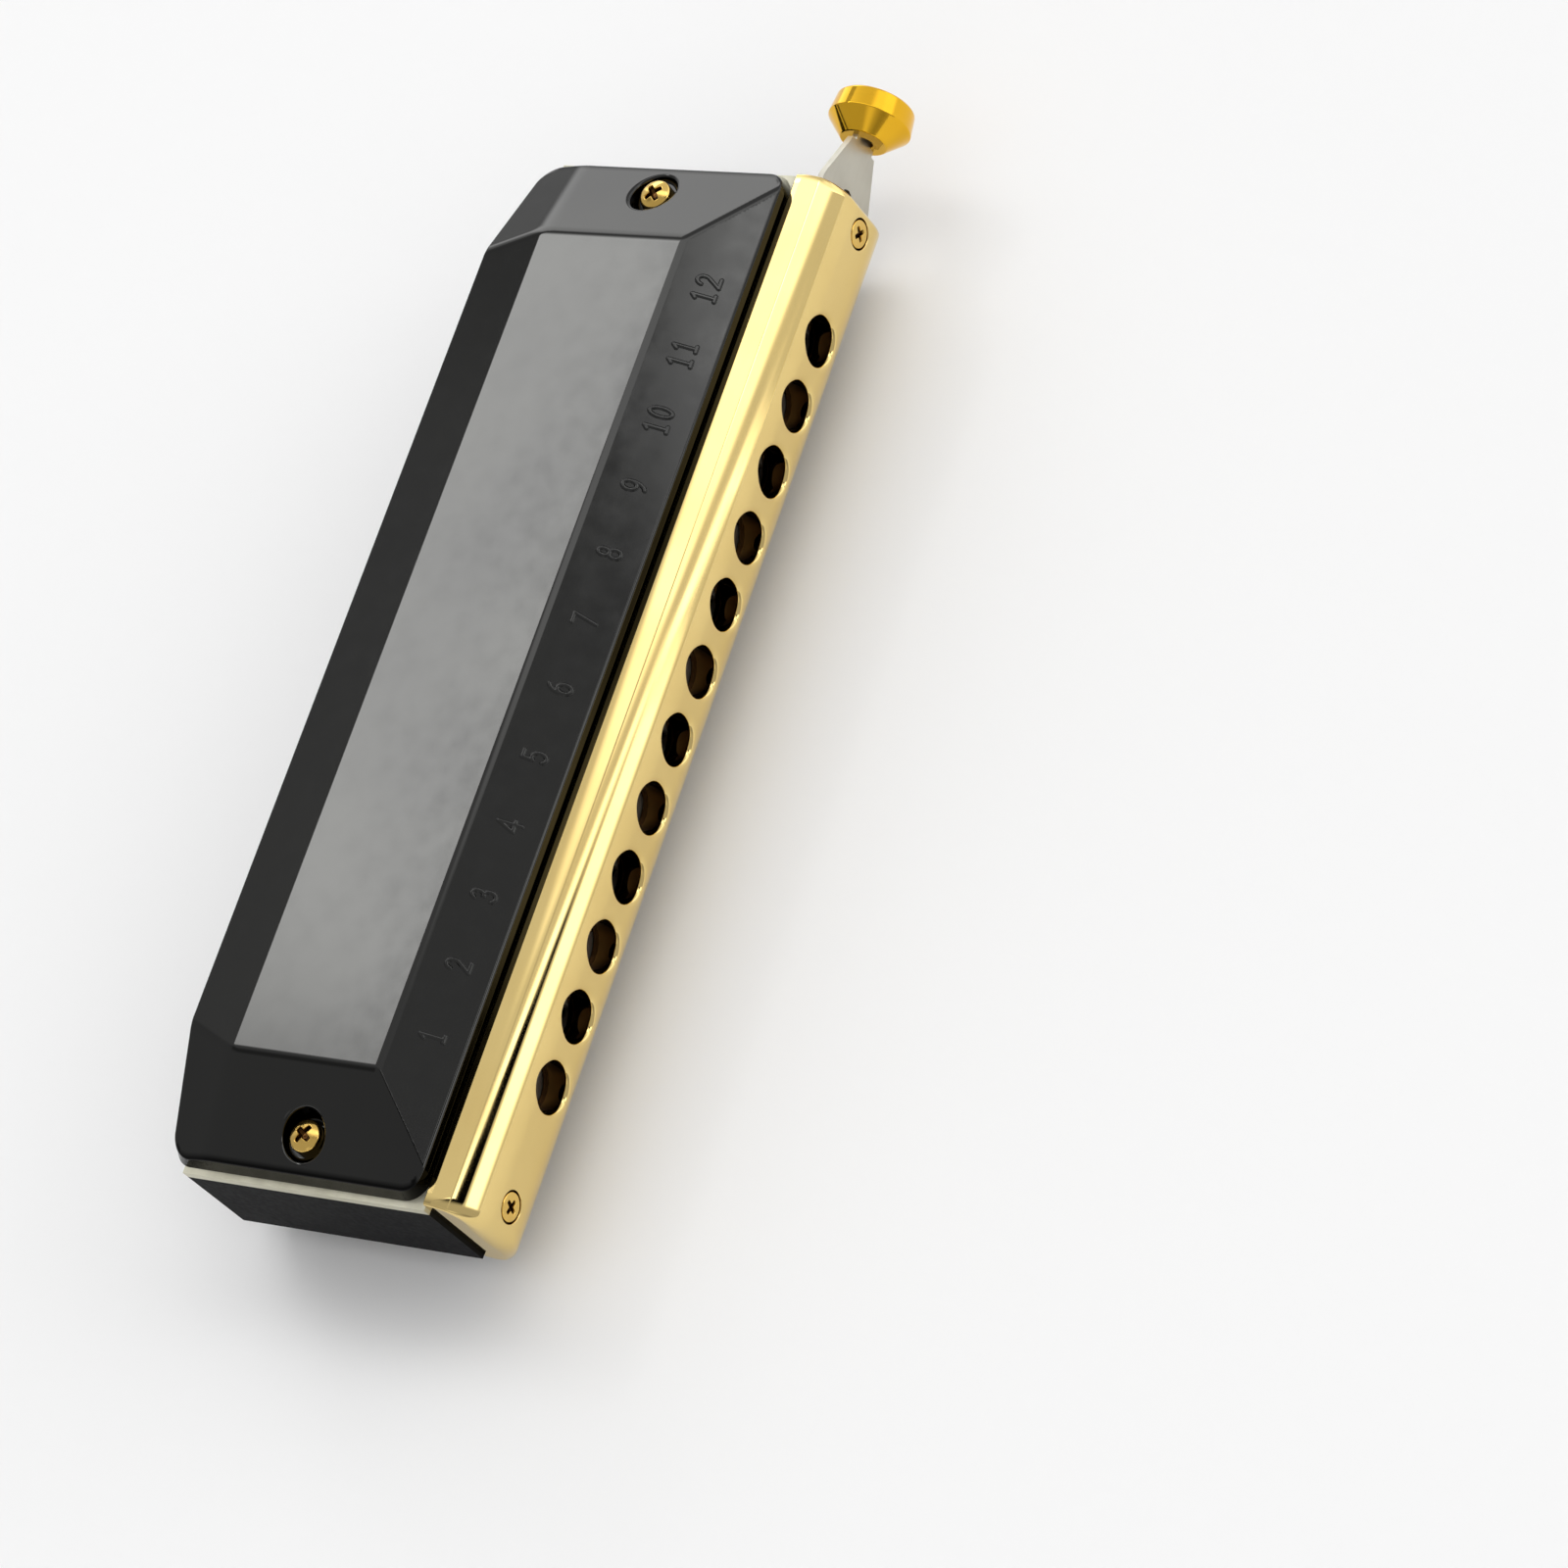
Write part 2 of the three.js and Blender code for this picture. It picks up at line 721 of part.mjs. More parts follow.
// A turned button whose slot and small bore take the slide's tongue.
function slideButton() {
  const profile = [
    [0, 0],
    [buttonNeckRadius, 0],
    [buttonWaistRadius, buttonWaist],
    [buttonCrownRadius, buttonCrown],
    [buttonCrownRadius, buttonCrown + buttonEdge],
    [buttonFaceRadius, buttonLength - buttonEdge],
    [buttonFaceRadius - buttonEdge, buttonLength],
    [0, buttonLength],
  ].map(([radius, distance]) => new THREE.Vector2(radius, distance));
  const geometry = new THREE.LatheGeometry(profile, buttonSides);
  geometry.rotateZ(-Math.PI / 2);
  geometry.translate(tabTaperEnd, slideMiddle, 0);
  const half = slideThickness / 2 + runningGap;
  const tall = tongueHeight / 2 + runningGap;
  const slotEnd = tabTaperEnd + tongueLength;
  const front = tabTaperEnd - overrun;
  const tongueSlot = block([front, slideMiddle - half, -tall], [slotEnd, slideMiddle + half, tall]);
  const bore = round("x", [slideMiddle, 0], front, slotEnd, buttonBoreRadius);
  return cut(solid(geometry), [tongueSlot, bore]);
}

// A hairpin of round wire: one leg stands in the slide's notch, the other braces the comb.
function slideSpring() {
  const bendPoints = Array.from({ length: arcSteps + 1 }, (_, step) => {
    const angle = (springBendTurn * step) / arcSteps;
    const x = springCentre + springBendRadius * Math.cos(angle);
    return new THREE.Vector3(x, springBendDepth + springBendRadius * Math.sin(angle), 0);
  });
  const tip = new THREE.Vector3(springNotch, -wireTip, 0);
  const leaving = bendPoints.at(-1);
  const braced = new THREE.Vector3(springBrace, springLegDepth, 0);
  const path = new THREE.CurvePath();
  path.add(new THREE.LineCurve3(tip, bendPoints[0]));
  path.add(new THREE.CatmullRomCurve3(bendPoints));
  path.add(new THREE.LineCurve3(leaving, braced));
  const section = new THREE.Shape().absarc(0, 0, wireRadius, 0, 2 * Math.PI);
  const settings = { steps: wireSteps, curveSegments: arcSteps, extrudePath: path, bevelEnabled: false };
  return solid(new THREE.ExtrudeGeometry(section, settings));
}

function springPin() {
  const place = [springCentre, springBendDepth];
  return round("z", place, pinLow, combHeight / 2, pinRadius, pinRadius, smallSides);
}

// Fasteners

// The cross in a screw head, cut into a face that looks along an axis.
function crossRecess(size, bottom, top) {
  const wide = crossLength / 2;
  const narrow = crossWidth / 2;
  return joined([
    size(-wide, -narrow, bottom, wide, narrow, top),
    size(-narrow, -wide, bottom, narrow, wide, top),
  ]);
}

function mouthpieceScrew(x) {
  const front = -mouthpieceDepth;
  const rear = front + screwDepth;
  const middle = front + screwHeadHeight / 2;
  const radius = screwShankRadius;
  const head = round("y", [x, 0], front, front + screwHeadHeight, screwHeadRadius);
  const shank = round("y", [x, 0], middle, rear, radius, radius, smallSides);
  const size = (u0, v0, near, u1, v1, far) => block([x + u0, near, v0], [x + u1, far, v1]);
  const cross = crossRecess(size, front - crossDepth, front + crossDepth);
  return head.add(shank).subtract(cross);
}

function coverBolt(x) {
  const seat = stackHalf + sheet;
  const top = seat + boltHeadHeight;
  const shoulder = seat + boltHeadEdge;
  const rim = round("z", [x, boltY], seat, shoulder, boltHeadRadius);
  const dome = round("z", [x, boltY], shoulder, top, boltHeadRadius, boltHeadRadius - boltHeadEdge);
  const end = -(seat + nutHeight);
  const shank = round("z", [x, boltY], end, shoulder, boltShankRadius, boltShankRadius, smallSides);
  const size = (u0, v0, near, u1, v1, far) => block([x + u0, boltY + v0, near], [x + u1, boltY + v1, far]);
  const cross = crossRecess(size, top - crossDepth, top + crossDepth);
  return joined([rim, dome, shank]).subtract(cross);
}

function coverNut(x) {
  const seat = -(stackHalf + sheet);
  const nut = round("z", [x, boltY], seat - nutHeight, seat, nutRadius, nutRadius, hexSides);
  const bore = round("z", [x, boltY], -coverTop, 0, boltShankRadius + turnedGap);
  return nut.subtract(bore);
}

function plateScrew([x, y]) {
  const top = stackHalf + plateScrewHeadHeight;
  const end = stackHalf - plateScrewDepth;
  const wide = plateScrewHeadRadius;
  const narrow = plateScrewShankRadius;
  const head = round("z", [x, y], stackHalf, top, wide, wide, smallSides);
  const shank = round("z", [x, y], end, top - driverSlot, narrow, narrow, rivetSides);
  const half = driverSlot / 2;
  const driver = block([x - 2 * wide, y - half, top - driverSlot], [x + 2 * wide, y + half, coverTop]);
  return head.add(shank).subtract(driver);
}

// The whole part

// The six screws of one reed plate.
function plateScrews(side) {
  return plateScrewPlaces().map((place, index) =>
    piece(`plate_screw_${side}_${index + 1}`, plateScrew(place), reedBrass),
  );
}

function fasteners() {
  return [
    piece("mouthpiece_screw_left", mouthpieceScrew(-screwX), goldPlate),
    piece("mouthpiece_screw_right", mouthpieceScrew(screwX), goldPlate),
    piece("cover_bolt_left", coverBolt(-boltX), goldPlate),
    piece("cover_bolt_right", coverBolt(boltX), goldPlate),
    piece("cover_nut_left", coverNut(-boltX), goldPlate),
    piece("cover_nut_right", coverNut(boltX), goldPlate),
    ...plateScrews("upper"),
    ...plateScrews("lower").map(turnedOver),
  ];
}

function harmonica() {
  const group = new THREE.Group();
  group.add(
    piece("comb", comb(), blackPlastic),
    piece("reed_plate_upper", upperReedPlate(), reedBrass),
    turnedOver(piece("reed_plate_lower", lowerReedPlate(), reedBrass)),
    piece("cover_upper", cover(), blackChrome),
    turnedOver(piece("cover_lower", cover(), blackChrome)),
    piece("mouthpiece", mouthpiece(), goldPlate),
    piece("slide_channel", slideChannel(), goldPlate),
    piece("slide_back_plate", slideBackPlate(), goldPlate),
    piece("slide", slide(), satinSteel),
    piece("slide_button", slideButton(), buttonGold),
    piece("slide_spring", slideSpring(), satinSteel),
    piece("spring_pin", springPin(), satinSteel),
    ...fasteners(),
  );
  group.position.set(0, -coverMiddle, coverTop);
  const root = new THREE.Group();
  root.add(group);
  return root;
}

export default harmonica();
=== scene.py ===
"""Studio scene of a chromatic harmonica: its solids with the shaped pieces and finishes over them."""

import logging
import math
from dataclasses import dataclass, field
from enum import Enum
from typing import Callable

import bmesh
import bpy
import numpy as np
from mathutils import Matrix, Vector
from mathutils.geometry import tessellate_polygon


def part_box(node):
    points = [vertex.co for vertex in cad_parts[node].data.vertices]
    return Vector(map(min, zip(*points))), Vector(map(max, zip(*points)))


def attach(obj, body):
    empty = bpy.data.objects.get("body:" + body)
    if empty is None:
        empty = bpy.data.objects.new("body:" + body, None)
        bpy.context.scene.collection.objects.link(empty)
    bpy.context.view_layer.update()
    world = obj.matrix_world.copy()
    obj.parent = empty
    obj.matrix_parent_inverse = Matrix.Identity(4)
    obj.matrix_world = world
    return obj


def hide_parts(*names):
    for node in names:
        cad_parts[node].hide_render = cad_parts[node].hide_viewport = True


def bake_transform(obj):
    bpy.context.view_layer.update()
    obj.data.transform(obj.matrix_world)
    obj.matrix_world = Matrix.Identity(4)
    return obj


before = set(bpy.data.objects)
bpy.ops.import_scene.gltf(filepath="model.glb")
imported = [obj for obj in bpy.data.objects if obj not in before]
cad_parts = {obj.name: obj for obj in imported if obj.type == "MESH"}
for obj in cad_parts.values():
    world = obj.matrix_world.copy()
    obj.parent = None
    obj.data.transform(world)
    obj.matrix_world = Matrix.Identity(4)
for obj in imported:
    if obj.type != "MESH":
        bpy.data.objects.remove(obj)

Array = np.ndarray
log = logging.getLogger("harmonica")

# One millimetre in metres. The weld's lattice, its shift and the small amounts are in millimetres.
MM = 0.001
WELD = 0.001
WELD_SHIFT = 0.00037
ROUNDING = 1e-9
NUDGE = 1e-6
LEAST_LENGTH = 1e-12
RINGS = 6
ARC_POINTS = 25
WALL_ROWS = 4
# Name of the corner attribute that holds the share of painted shade
PAINTED_SHADE_ATTRIBUTE = "inside"


class Body(Enum):
    """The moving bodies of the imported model."""

    FIXED = "body"
    SLIDING = "slide"


@dataclass(frozen=True)
class Layout:
    """Sizes shared by several pieces, in millimetres, about the centre line of the breath holes."""

    holes: int = 12
    pitch: float = 9.1
    lift: float = 13.4
    setback: float = 19.0
    stack_half: float = 7.0
    bolt_x: float = 63.7
    bolt_y: float = 17.8
    mouth_front: float = -6.4
    screw_x: float = 65.2
    seat_depth: float = 1.5
    slide_middle: float = -2.2
    sheet: float = 0.7

    def hole_places(self) -> Array:
        """Gives the x of each hole's middle."""
        return (np.arange(self.holes) - (self.holes - 1) / 2) * self.pitch

    def placed(self, points: Array) -> Array:
        """Moves drawn millimetres to where the part stands, in metres.

        Args:
            points: Any array whose last axis is x, y, z in millimetres.

        Returns:
            The same array, set back by the comb's front and lifted on to the floor, in metres.
        """
        return (points + np.array([0.0, -self.setback, self.lift])) * MM


LAYOUT = Layout()


# Number work that several pieces use


def steps(*stops: tuple[float, float]) -> Array:
    """Gives rising lines between stops.

    Args:
        stops: Pairs of a value and the spacing up to the next stop. The last spacing isn't used.

    Returns:
        All stops with evenly spaced lines between each two, none further apart than asked.
    """
    runs = []
    for (low, gap), (high, _) in zip(stops[:-1], stops[1:]):
        count = max(1, math.ceil((high - low) / gap - ROUNDING))
        runs.append(np.linspace(low, high, count + 1)[:-1])
    return np.concatenate([*runs, [stops[-1][0]]])


def right_angle(count: int) -> Array:
    """Gives evenly spaced angles from 0 to a right angle."""
    return np.radians(np.linspace(0, 90, count))


def border(grid: Array) -> Array:
    """Gives a grid's outer points in order round it, with the first again at the end."""
    return np.concatenate([grid[0], grid[1:, -1], grid[-1, -2::-1], grid[-2::-1, 0]])


def revolved(radius: Array, height: Array, turn: Array) -> Array:
    """Turns an outline round z.

    Args:
        radius: Distance from the axis, one row for each ring.
        height: Place along the axis, in the same rows.
        turn: Angles of the columns, a whole turn.

    Returns:
        Points r cos a, r sin a, h, where the last column repeats the first.
    """
    rings = np.stack(np.broadcast_arrays(radius * np.cos(turn), radius * np.sin(turn), height), axis=-1)
    rings[:, -1] = rings[:, 0]
    return rings


def lerp(a: Array, b: Array, share: Array) -> Array:
    """Goes straight from a to b by a share from 0 to 1."""
    return a + (b - a) * share


def smooth_share(low: float, high: float, value: Array) -> Array:
    """Rises from 0 at low to 1 at high as 3t^2 - 2t^3."""
    t = np.clip((value - low) / (high - low), 0.0, 1.0)
    return t * t * (3.0 - 2.0 * t)


def soft_min(a: Array, b: Array, blend: float) -> Array:
    """Gives the lower of two heights with a parabola laid into their crease.

    Args:
        a: First height.
        b: Second height.
        blend: Height difference within which the parabola runs.

    Returns:
        min(a, b) less (blend - |a - b|)^2 / (4 blend) where the two are that close.
    """
    near = np.maximum(blend - np.abs(a - b), 0.0)
    return np.minimum(a, b) - near * near / (4.0 * blend)


def unit(vectors: Array) -> Array:
    """Scales vectors on the last axis to length 1."""
    length = np.linalg.norm(vectors, axis=-1, keepdims=True)
    return vectors / np.maximum(length, LEAST_LENGTH)


def slopes(points: Array, ring: bool) -> Array:
    """Works out a grid's normals as the cross product of its two central differences.

    Args:
        points: Grid of points, rows by columns by 3.
        ring: True where the last column repeats the first.

    Returns:
        One unit normal for each point. A row that is a single point takes its neighbours' mean.
    """
    down = np.gradient(points, axis=0)
    if ring:
        loop = points[:, :-1]
        across = np.roll(loop, -1, axis=1) - np.roll(loop, 1, axis=1)
        across = np.concatenate([across, across[:, :1]], axis=1)
    else:
        across = np.gradient(points, axis=1)
    crossed = np.cross(down, across)
    size = np.linalg.norm(crossed, axis=-1, keepdims=True)
    normals = crossed / np.maximum(size, LEAST_LENGTH)
    for row, beside in ((0, 1), (-1, -2)):
        if size[row].max() < ROUNDING:
            normals[row] = unit(normals[beside, :-1].mean(axis=0))
    return normals


class Skin:
    """Collects patches of surface and makes one closed mesh of them."""

    def __init__(self, name: str) -> None:
        """Starts an empty skin.

        Args:
            name: Name of the object to be made.
        """
        self.name = name
        self.corners: list[Array] = []
        self.normals: list[Array] = []
        self.insides: list[Array] = []

    def sheet(
        self, points: Array, normals: Array | None = None, shown: Array | None = None,
        ring: bool = False, inside: Array | float = 0.0,
    ) -> None:
        """Adds a grid of points as two triangles to a cell.

        Args:
            points: Rows by columns by 3, in drawn millimetres.
            normals: Unit normals of the same shape, of either sign. Without them, slopes() gives them.
            shown: Which cells are kept, rows - 1 by columns - 1.
            ring: True where the last column repeats the first.
            inside: Share of painted shade, 1 within a hole, pocket or cup and on a cover's skirt, which
            the finish paints darker, as one value or one for each point.
        """
        if normals is None:
            normals = slopes(points, ring)
        normals = np.broadcast_to(normals, points.shape)
        keep = np.ones((points.shape[0] - 1, points.shape[1] - 1), bool) if shown is None else shown
        # depth is the share of painted shade at each point
        depth = np.broadcast_to(np.asarray(inside, float), points.shape[:2])
        for grid, store in ((points, self.corners), (normals, self.normals), (depth, self.insides)):
            a, b = grid[:-1, :-1][keep], grid[:-1, 1:][keep]
            c, d = grid[1:, 1:][keep], grid[1:, :-1][keep]
            store.append(np.stack([a, b, c], axis=1))
            store.append(np.stack([a, c, d], axis=1))

    def walls(self, top: Array, low: Array) -> None:
        """Joins two grids of one size by a wall along each of their four edges."""
        for side in (np.s_[0], np.s_[-1], np.s_[:, 0], np.s_[:, -1]):
            self.sheet(np.array([top[side], low[side]]))

    def cap(self, loop: Array, normal: tuple[float, float, float]) -> None:
        """Fills a flat closed outline with triangles between its own points.

        Args:
            loop: The outline's points in order, n by 3.
            normal: The flat face's normal.
        """
        triangles = np.array(tessellate_polygon([[Vector(p) for p in loop.tolist()]]))
        self.corners.append(loop[triangles])
        self.normals.append(np.broadcast_to(np.array(normal, float), (len(triangles), 3, 3)))
        self.insides.append(np.zeros((len(triangles), 3)))

    def turn_over(self) -> None:
        """Turns everything over about the y axis: x becomes -x and z becomes -z."""
        flip = np.array([-1.0, 1.0, -1.0])
        self.corners = [part * flip for part in self.corners]
        self.normals = [part * flip for part in self.normals]

    def object(self) -> bpy.types.Object:
        """Welds the patches and makes the object.

        Points on one 0.001 mm lattice place are one vertex, and a triangle with two equal corners
        is dropped. Faces are turned outwards, and each corner keeps its own patch's normal, on its
        face's side.

        Returns:
            The linked mesh object, in metres where the part stands.
        """
        corners = np.concatenate(self.corners)
        normals = np.concatenate(self.normals)
        insides = np.concatenate(self.insides)
        keys = np.round((corners.reshape(-1, 3) + WELD_SHIFT) / WELD).astype(np.int64)
        _, first, index = np.unique(keys, axis=0, return_index=True, return_inverse=True)
        triangles = index.reshape(-1, 3)
        real = (
            (triangles[:, 0] != triangles[:, 1])
            & (triangles[:, 1] != triangles[:, 2])
            & (triangles[:, 2] != triangles[:, 0])
        )
        triangles, normals, insides = triangles[real], normals[real], insides[real]
        points = LAYOUT.placed(corners.reshape(-1, 3)[first])
        mesh = bpy.data.meshes.new(self.name)
        mesh.from_pydata(points, [], triangles)
        self._face_outwards(mesh)
        mesh.polygons.foreach_set("use_smooth", np.ones(len(triangles), bool))
        match = self._corner_match(mesh, triangles)
        mesh.normals_split_custom_set(self._corner_normals(mesh, normals, match))
        # Stores the share of painted shade on each face corner, for the finish to darken by
        if insides.any():
            depth = mesh.attributes.new(PAINTED_SHADE_ATTRIBUTE, "FLOAT", "CORNER")
            depth.data.foreach_set("value", np.take_along_axis(insides, match, axis=1).ravel())
        made = bpy.data.objects.new(self.name, mesh)
        bpy.context.scene.collection.objects.link(made)
        return made

    @staticmethod
    def _face_outwards(mesh: bpy.types.Mesh) -> None:
        """Turns every face of a closed mesh outwards.

        Args:
            mesh: The mesh, which is changed.
        """
        worked = bmesh.new()
        worked.from_mesh(mesh)
        bmesh.ops.recalc_face_normals(worked, faces=worked.faces)
        worked.to_mesh(mesh)
        worked.free()

    @staticmethod
    def _corner_match(mesh: bpy.types.Mesh, triangles: Array) -> Array:
        """Finds which drawn corner each face corner is.

        Args:
            mesh: The mesh with its faces turned outwards.
            triangles: Vertex numbers of each face as they were drawn.

        Returns:
            For each face, three numbers from 0 to 2.
        """
        turned = np.empty(len(mesh.loops), np.int32)
        mesh.loops.foreach_get("vertex_index", turned)
        return (turned.reshape(-1, 3)[:, :, None] == triangles[:, None, :]).argmax(axis=2)

    @staticmethod
    def _corner_normals(mesh: bpy.types.Mesh, normals: Array, match: Array) -> Array:
        """Puts the patches' normals in the order and on the side of the mesh's faces.

        Args:
            mesh: The mesh with its faces turned outwards.
            normals: The normals of each face's drawn corners.
            match: Which drawn corner each face corner is.

        Returns:
            One normal for each face corner.
        """
        ordered = np.take_along_axis(normals, match[:, :, None], axis=1)
        facing = np.empty(len(mesh.polygons) * 3, np.float32)
        mesh.polygons.foreach_get("normal", facing)
        side = np.sign(np.einsum("fci,fi->fc", ordered, facing.reshape(-1, 3)))
        side[side == 0] = 1.0
        return (ordered * side[:, :, None]).reshape(-1, 3)


# Finishes

Socket = bpy.types.NodeSocket
Feed = Socket | float | tuple[float, ...]
PATCH_EDGES = (0.35, 0.65)
SHINE_EDGES = (0.12, 0.4)
PATCH_DETAIL = 3.0
GRAIN_DETAIL = 4.0


@dataclass(frozen=True)
class NodeDesk:
    """Adds shader nodes to one tree."""

    tree: bpy.types.NodeTree

    def feed(self, node: bpy.types.Node, feeds: dict[str | int, Feed]) -> None:
        """Gives a node's inputs their values, or the sockets that feed them.

        Args:
            node: The node.
            feeds: A value or a socket for each input, by its name or number.
        """
        for name, value in feeds.items():
            if isinstance(value, Socket):
                self.tree.links.new(value, node.inputs[name])
            else:
                node.inputs[name].default_value = value

    def add(self, kind: str, result: str, feeds: dict[str | int, Feed], **settings: str) -> Socket:
        """Adds a node.

        Args:
            kind: Its type, without the leading ShaderNode.
            result: The name of the output wanted.
            feeds: What its inputs get.
            settings: Its own settings, which are made before it is fed.

        Returns:
            The output socket.
        """
        node = self.tree.nodes.new("ShaderNode" + kind)
        for name, value in settings.items():
            setattr(node, name, value)
        self.feed(node, feeds)
        return node.outputs[result]

    def noise(self, place: Socket, scale: float, detail: float) -> Socket:
        """Adds a noise of one scale and gives its value."""
        return self.add("TexNoise", "Fac", {"Vector": place, "Scale": scale, "Detail": detail})

    def spread(
        self, value: Socket, low: float, high: float, to_low: float, to_high: float, **settings: str
    ) -> Socket:
        """Adds a Map Range from low..high to to_low..to_high and gives its result."""
        feeds = {"Value": value, "From Min": low, "From Max": high, "To Min": to_low, "To Max": to_high}
        return self.add("MapRange", "Result", feeds, **settings)

    def mixed(self, share: Feed, a: Feed, b: Feed) -> Socket:
        """Mixes from colour a to colour b by a share and gives the result."""
        return self.add("Mix", "Result", {"Factor": share, "A": a, "B": b}, data_type="RGBA")

    def sum(self, kind: str, a: Feed, b: Feed) -> Socket:
        """Works out a sum of two values, such as MULTIPLY, and gives its value."""
        return self.add("Math", "Value", {0: a, 1: b}, operation=kind)


@dataclass(frozen=True)
class Finish:
    """A surface finish: two close colours in soft patches, fine grain, how it shines, and a dark colour
    painted in as shade.

    The grain is noise on Object coordinates, stretched where the finish is drawn or brushed.
    """

    name: str
    slot: str
    colour: tuple[float, float, float]
    shade: tuple[float, float, float]
    metallic: float
    rough_low: float
    rough_high: float
    patch_scale: float = 60.0
    grain_scale: float = 900.0
    grain_stretch: tuple[float, float, float] = (1.0, 1.0, 1.0)
    relief: float = 0.000002
    relief_strength: float = 0.15
    specular: float = 0.5
    # inside: dark colour painted in as shade, by the share in the mesh's inside attribute
    inside: tuple[float, float, float] | None = None

    def material(self) -> bpy.types.Material:
        """Builds the node material.

        Returns:
            A Principled material whose colour, roughness and bump come from two noises, and whose colour
            takes in painted shade.
        """
        made = bpy.data.materials.new(self.name)
        made.use_nodes = True
        desk = NodeDesk(made.node_tree)
        place = desk.add("TexCoord", "Object", {})
        drawn = desk.add("Mapping", "Vector", {"Vector": place, "Scale": self.grain_stretch})
        patches = desk.noise(place, self.patch_scale, PATCH_DETAIL)
        grain = desk.noise(drawn, self.grain_scale, GRAIN_DETAIL)
        tint = desk.spread(patches, *PATCH_EDGES, 0.0, 1.0)
        colour = desk.mixed(tint, (*self.colour, 1.0), (*self.shade, 1.0))
        # Paints shade: mixes towards the dark inside colour by the painted-shade attribute
        if self.inside is not None:
            depth = desk.add("Attribute", "Fac", {}, attribute_name=PAINTED_SHADE_ATTRIBUTE)
            colour = desk.mixed(depth, colour, (*self.inside, 1.0))
        both = desk.sum("MULTIPLY", patches, grain)
        relief = {"Strength": self.relief_strength, "Distance": self.relief, "Height": grain}
        desk.feed(
            made.node_tree.nodes["Principled BSDF"],
            {
                "Base Color": colour, "Metallic": self.metallic, "Specular IOR Level": self.specular,
                "Roughness": desk.spread(both, *SHINE_EDGES, self.rough_low, self.rough_high),
                "Normal": desk.add("Bump", "Normal", relief),
            },
        )
        return made


# The inside colours of these finishes are painted shade for holes, pockets, cups, screw crosses and the
# covers' skirts and rims
BLACK_CHROME = Finish(
    "black_chrome", "black_chrome", (0.046, 0.046, 0.0445), (0.041, 0.041, 0.0405), 1.0, 0.05, 0.1,
    patch_scale=25.0, grain_scale=400.0, relief=0.000003, relief_strength=0.08,
    inside=(0.008, 0.008, 0.008),
)
GOLD_PLATE = Finish(
    "gold_plate", "gold_plate", (0.81, 0.615, 0.25), (0.77, 0.575, 0.225), 1.0, 0.035, 0.085,
    patch_scale=80.0, grain_scale=1400.0, grain_stretch=(0.03, 1.0, 1.0), relief=0.000003,
    relief_strength=0.25, inside=(0.13, 0.07, 0.022),
)
BUTTON_GOLD = Finish(
    "button_gold", "button_gold", (0.86, 0.49, 0.03), (0.8, 0.43, 0.022), 1.0, 0.07, 0.15,
    patch_scale=120.0, grain_scale=2600.0, grain_stretch=(1.0, 0.12, 0.12), relief=0.000003,
    relief_strength=0.3,
)
SCREW_GOLD = Finish(
    "screw_gold", "gold_plate", (0.82, 0.56, 0.16), (0.74, 0.48, 0.12), 1.0, 0.1, 0.2,
    patch_scale=300.0, grain_scale=2500.0, relief=0.000003, relief_strength=0.25,
    inside=(0.05, 0.022, 0.006),
)
REED_BRASS = Finish(
    "milled_brass", "reed_brass", (0.66, 0.64, 0.52), (0.56, 0.54, 0.43), 1.0, 0.45, 0.6,
    patch_scale=90.0, grain_scale=1800.0, grain_stretch=(0.06, 1.0, 1.0), relief=0.000004,
    relief_strength=0.4,
)
# Brass painted almost black as the shade deep in the holes, for the slide channel and back plate
SHADED_CHANNEL_BRASS = Finish(
    "channel_brass_painted_shade", "reed_brass", (0.07, 0.035, 0.014), (0.05, 0.024, 0.009), 1.0, 0.05, 0.12,
    patch_scale=160.0, grain_scale=1800.0, grain_stretch=(0.06, 1.0, 1.0), relief=0.000004,
    relief_strength=0.4,
)
SATIN_STEEL = Finish(
    "satin_steel", "satin_steel", (0.54, 0.52, 0.45), (0.48, 0.46, 0.4), 1.0, 0.38, 0.52,
    patch_scale=120.0, grain_scale=2200.0, grain_stretch=(0.05, 1.0, 1.0), relief=0.000004,
    relief_strength=0.4,
)
SPRING_STEEL = Finish(
    "spring_steel", "spring_steel", (0.5, 0.5, 0.52), (0.4, 0.4, 0.43), 1.0, 0.2, 0.34,
    patch_scale=200.0, grain_scale=3000.0, relief_strength=0.3,
)
COMB_PLASTIC = Finish(
    "comb_plastic", "black_plastic", (0.005, 0.005, 0.0055), (0.008, 0.008, 0.009), 0.0, 0.5, 0.62,
    patch_scale=70.0, grain_scale=1600.0, relief=0.00001, relief_strength=0.3, specular=0.04,
)
VALVE_FILM = Finish(
    "valve_film", "black_plastic", (0.62, 0.6, 0.55), (0.54, 0.52, 0.47), 0.0, 0.3, 0.45,
    patch_scale=200.0, grain_scale=2000.0, relief=0.000005, relief_strength=0.2,
)
PALE_FLOOR = Finish(
    "pale_floor", "", (0.9, 0.9, 0.9), (0.885, 0.885, 0.885), 0.0, 0.7, 0.8,
    patch_scale=2.0, grain_scale=300.0, relief=0.00002, relief_strength=0.1,
)


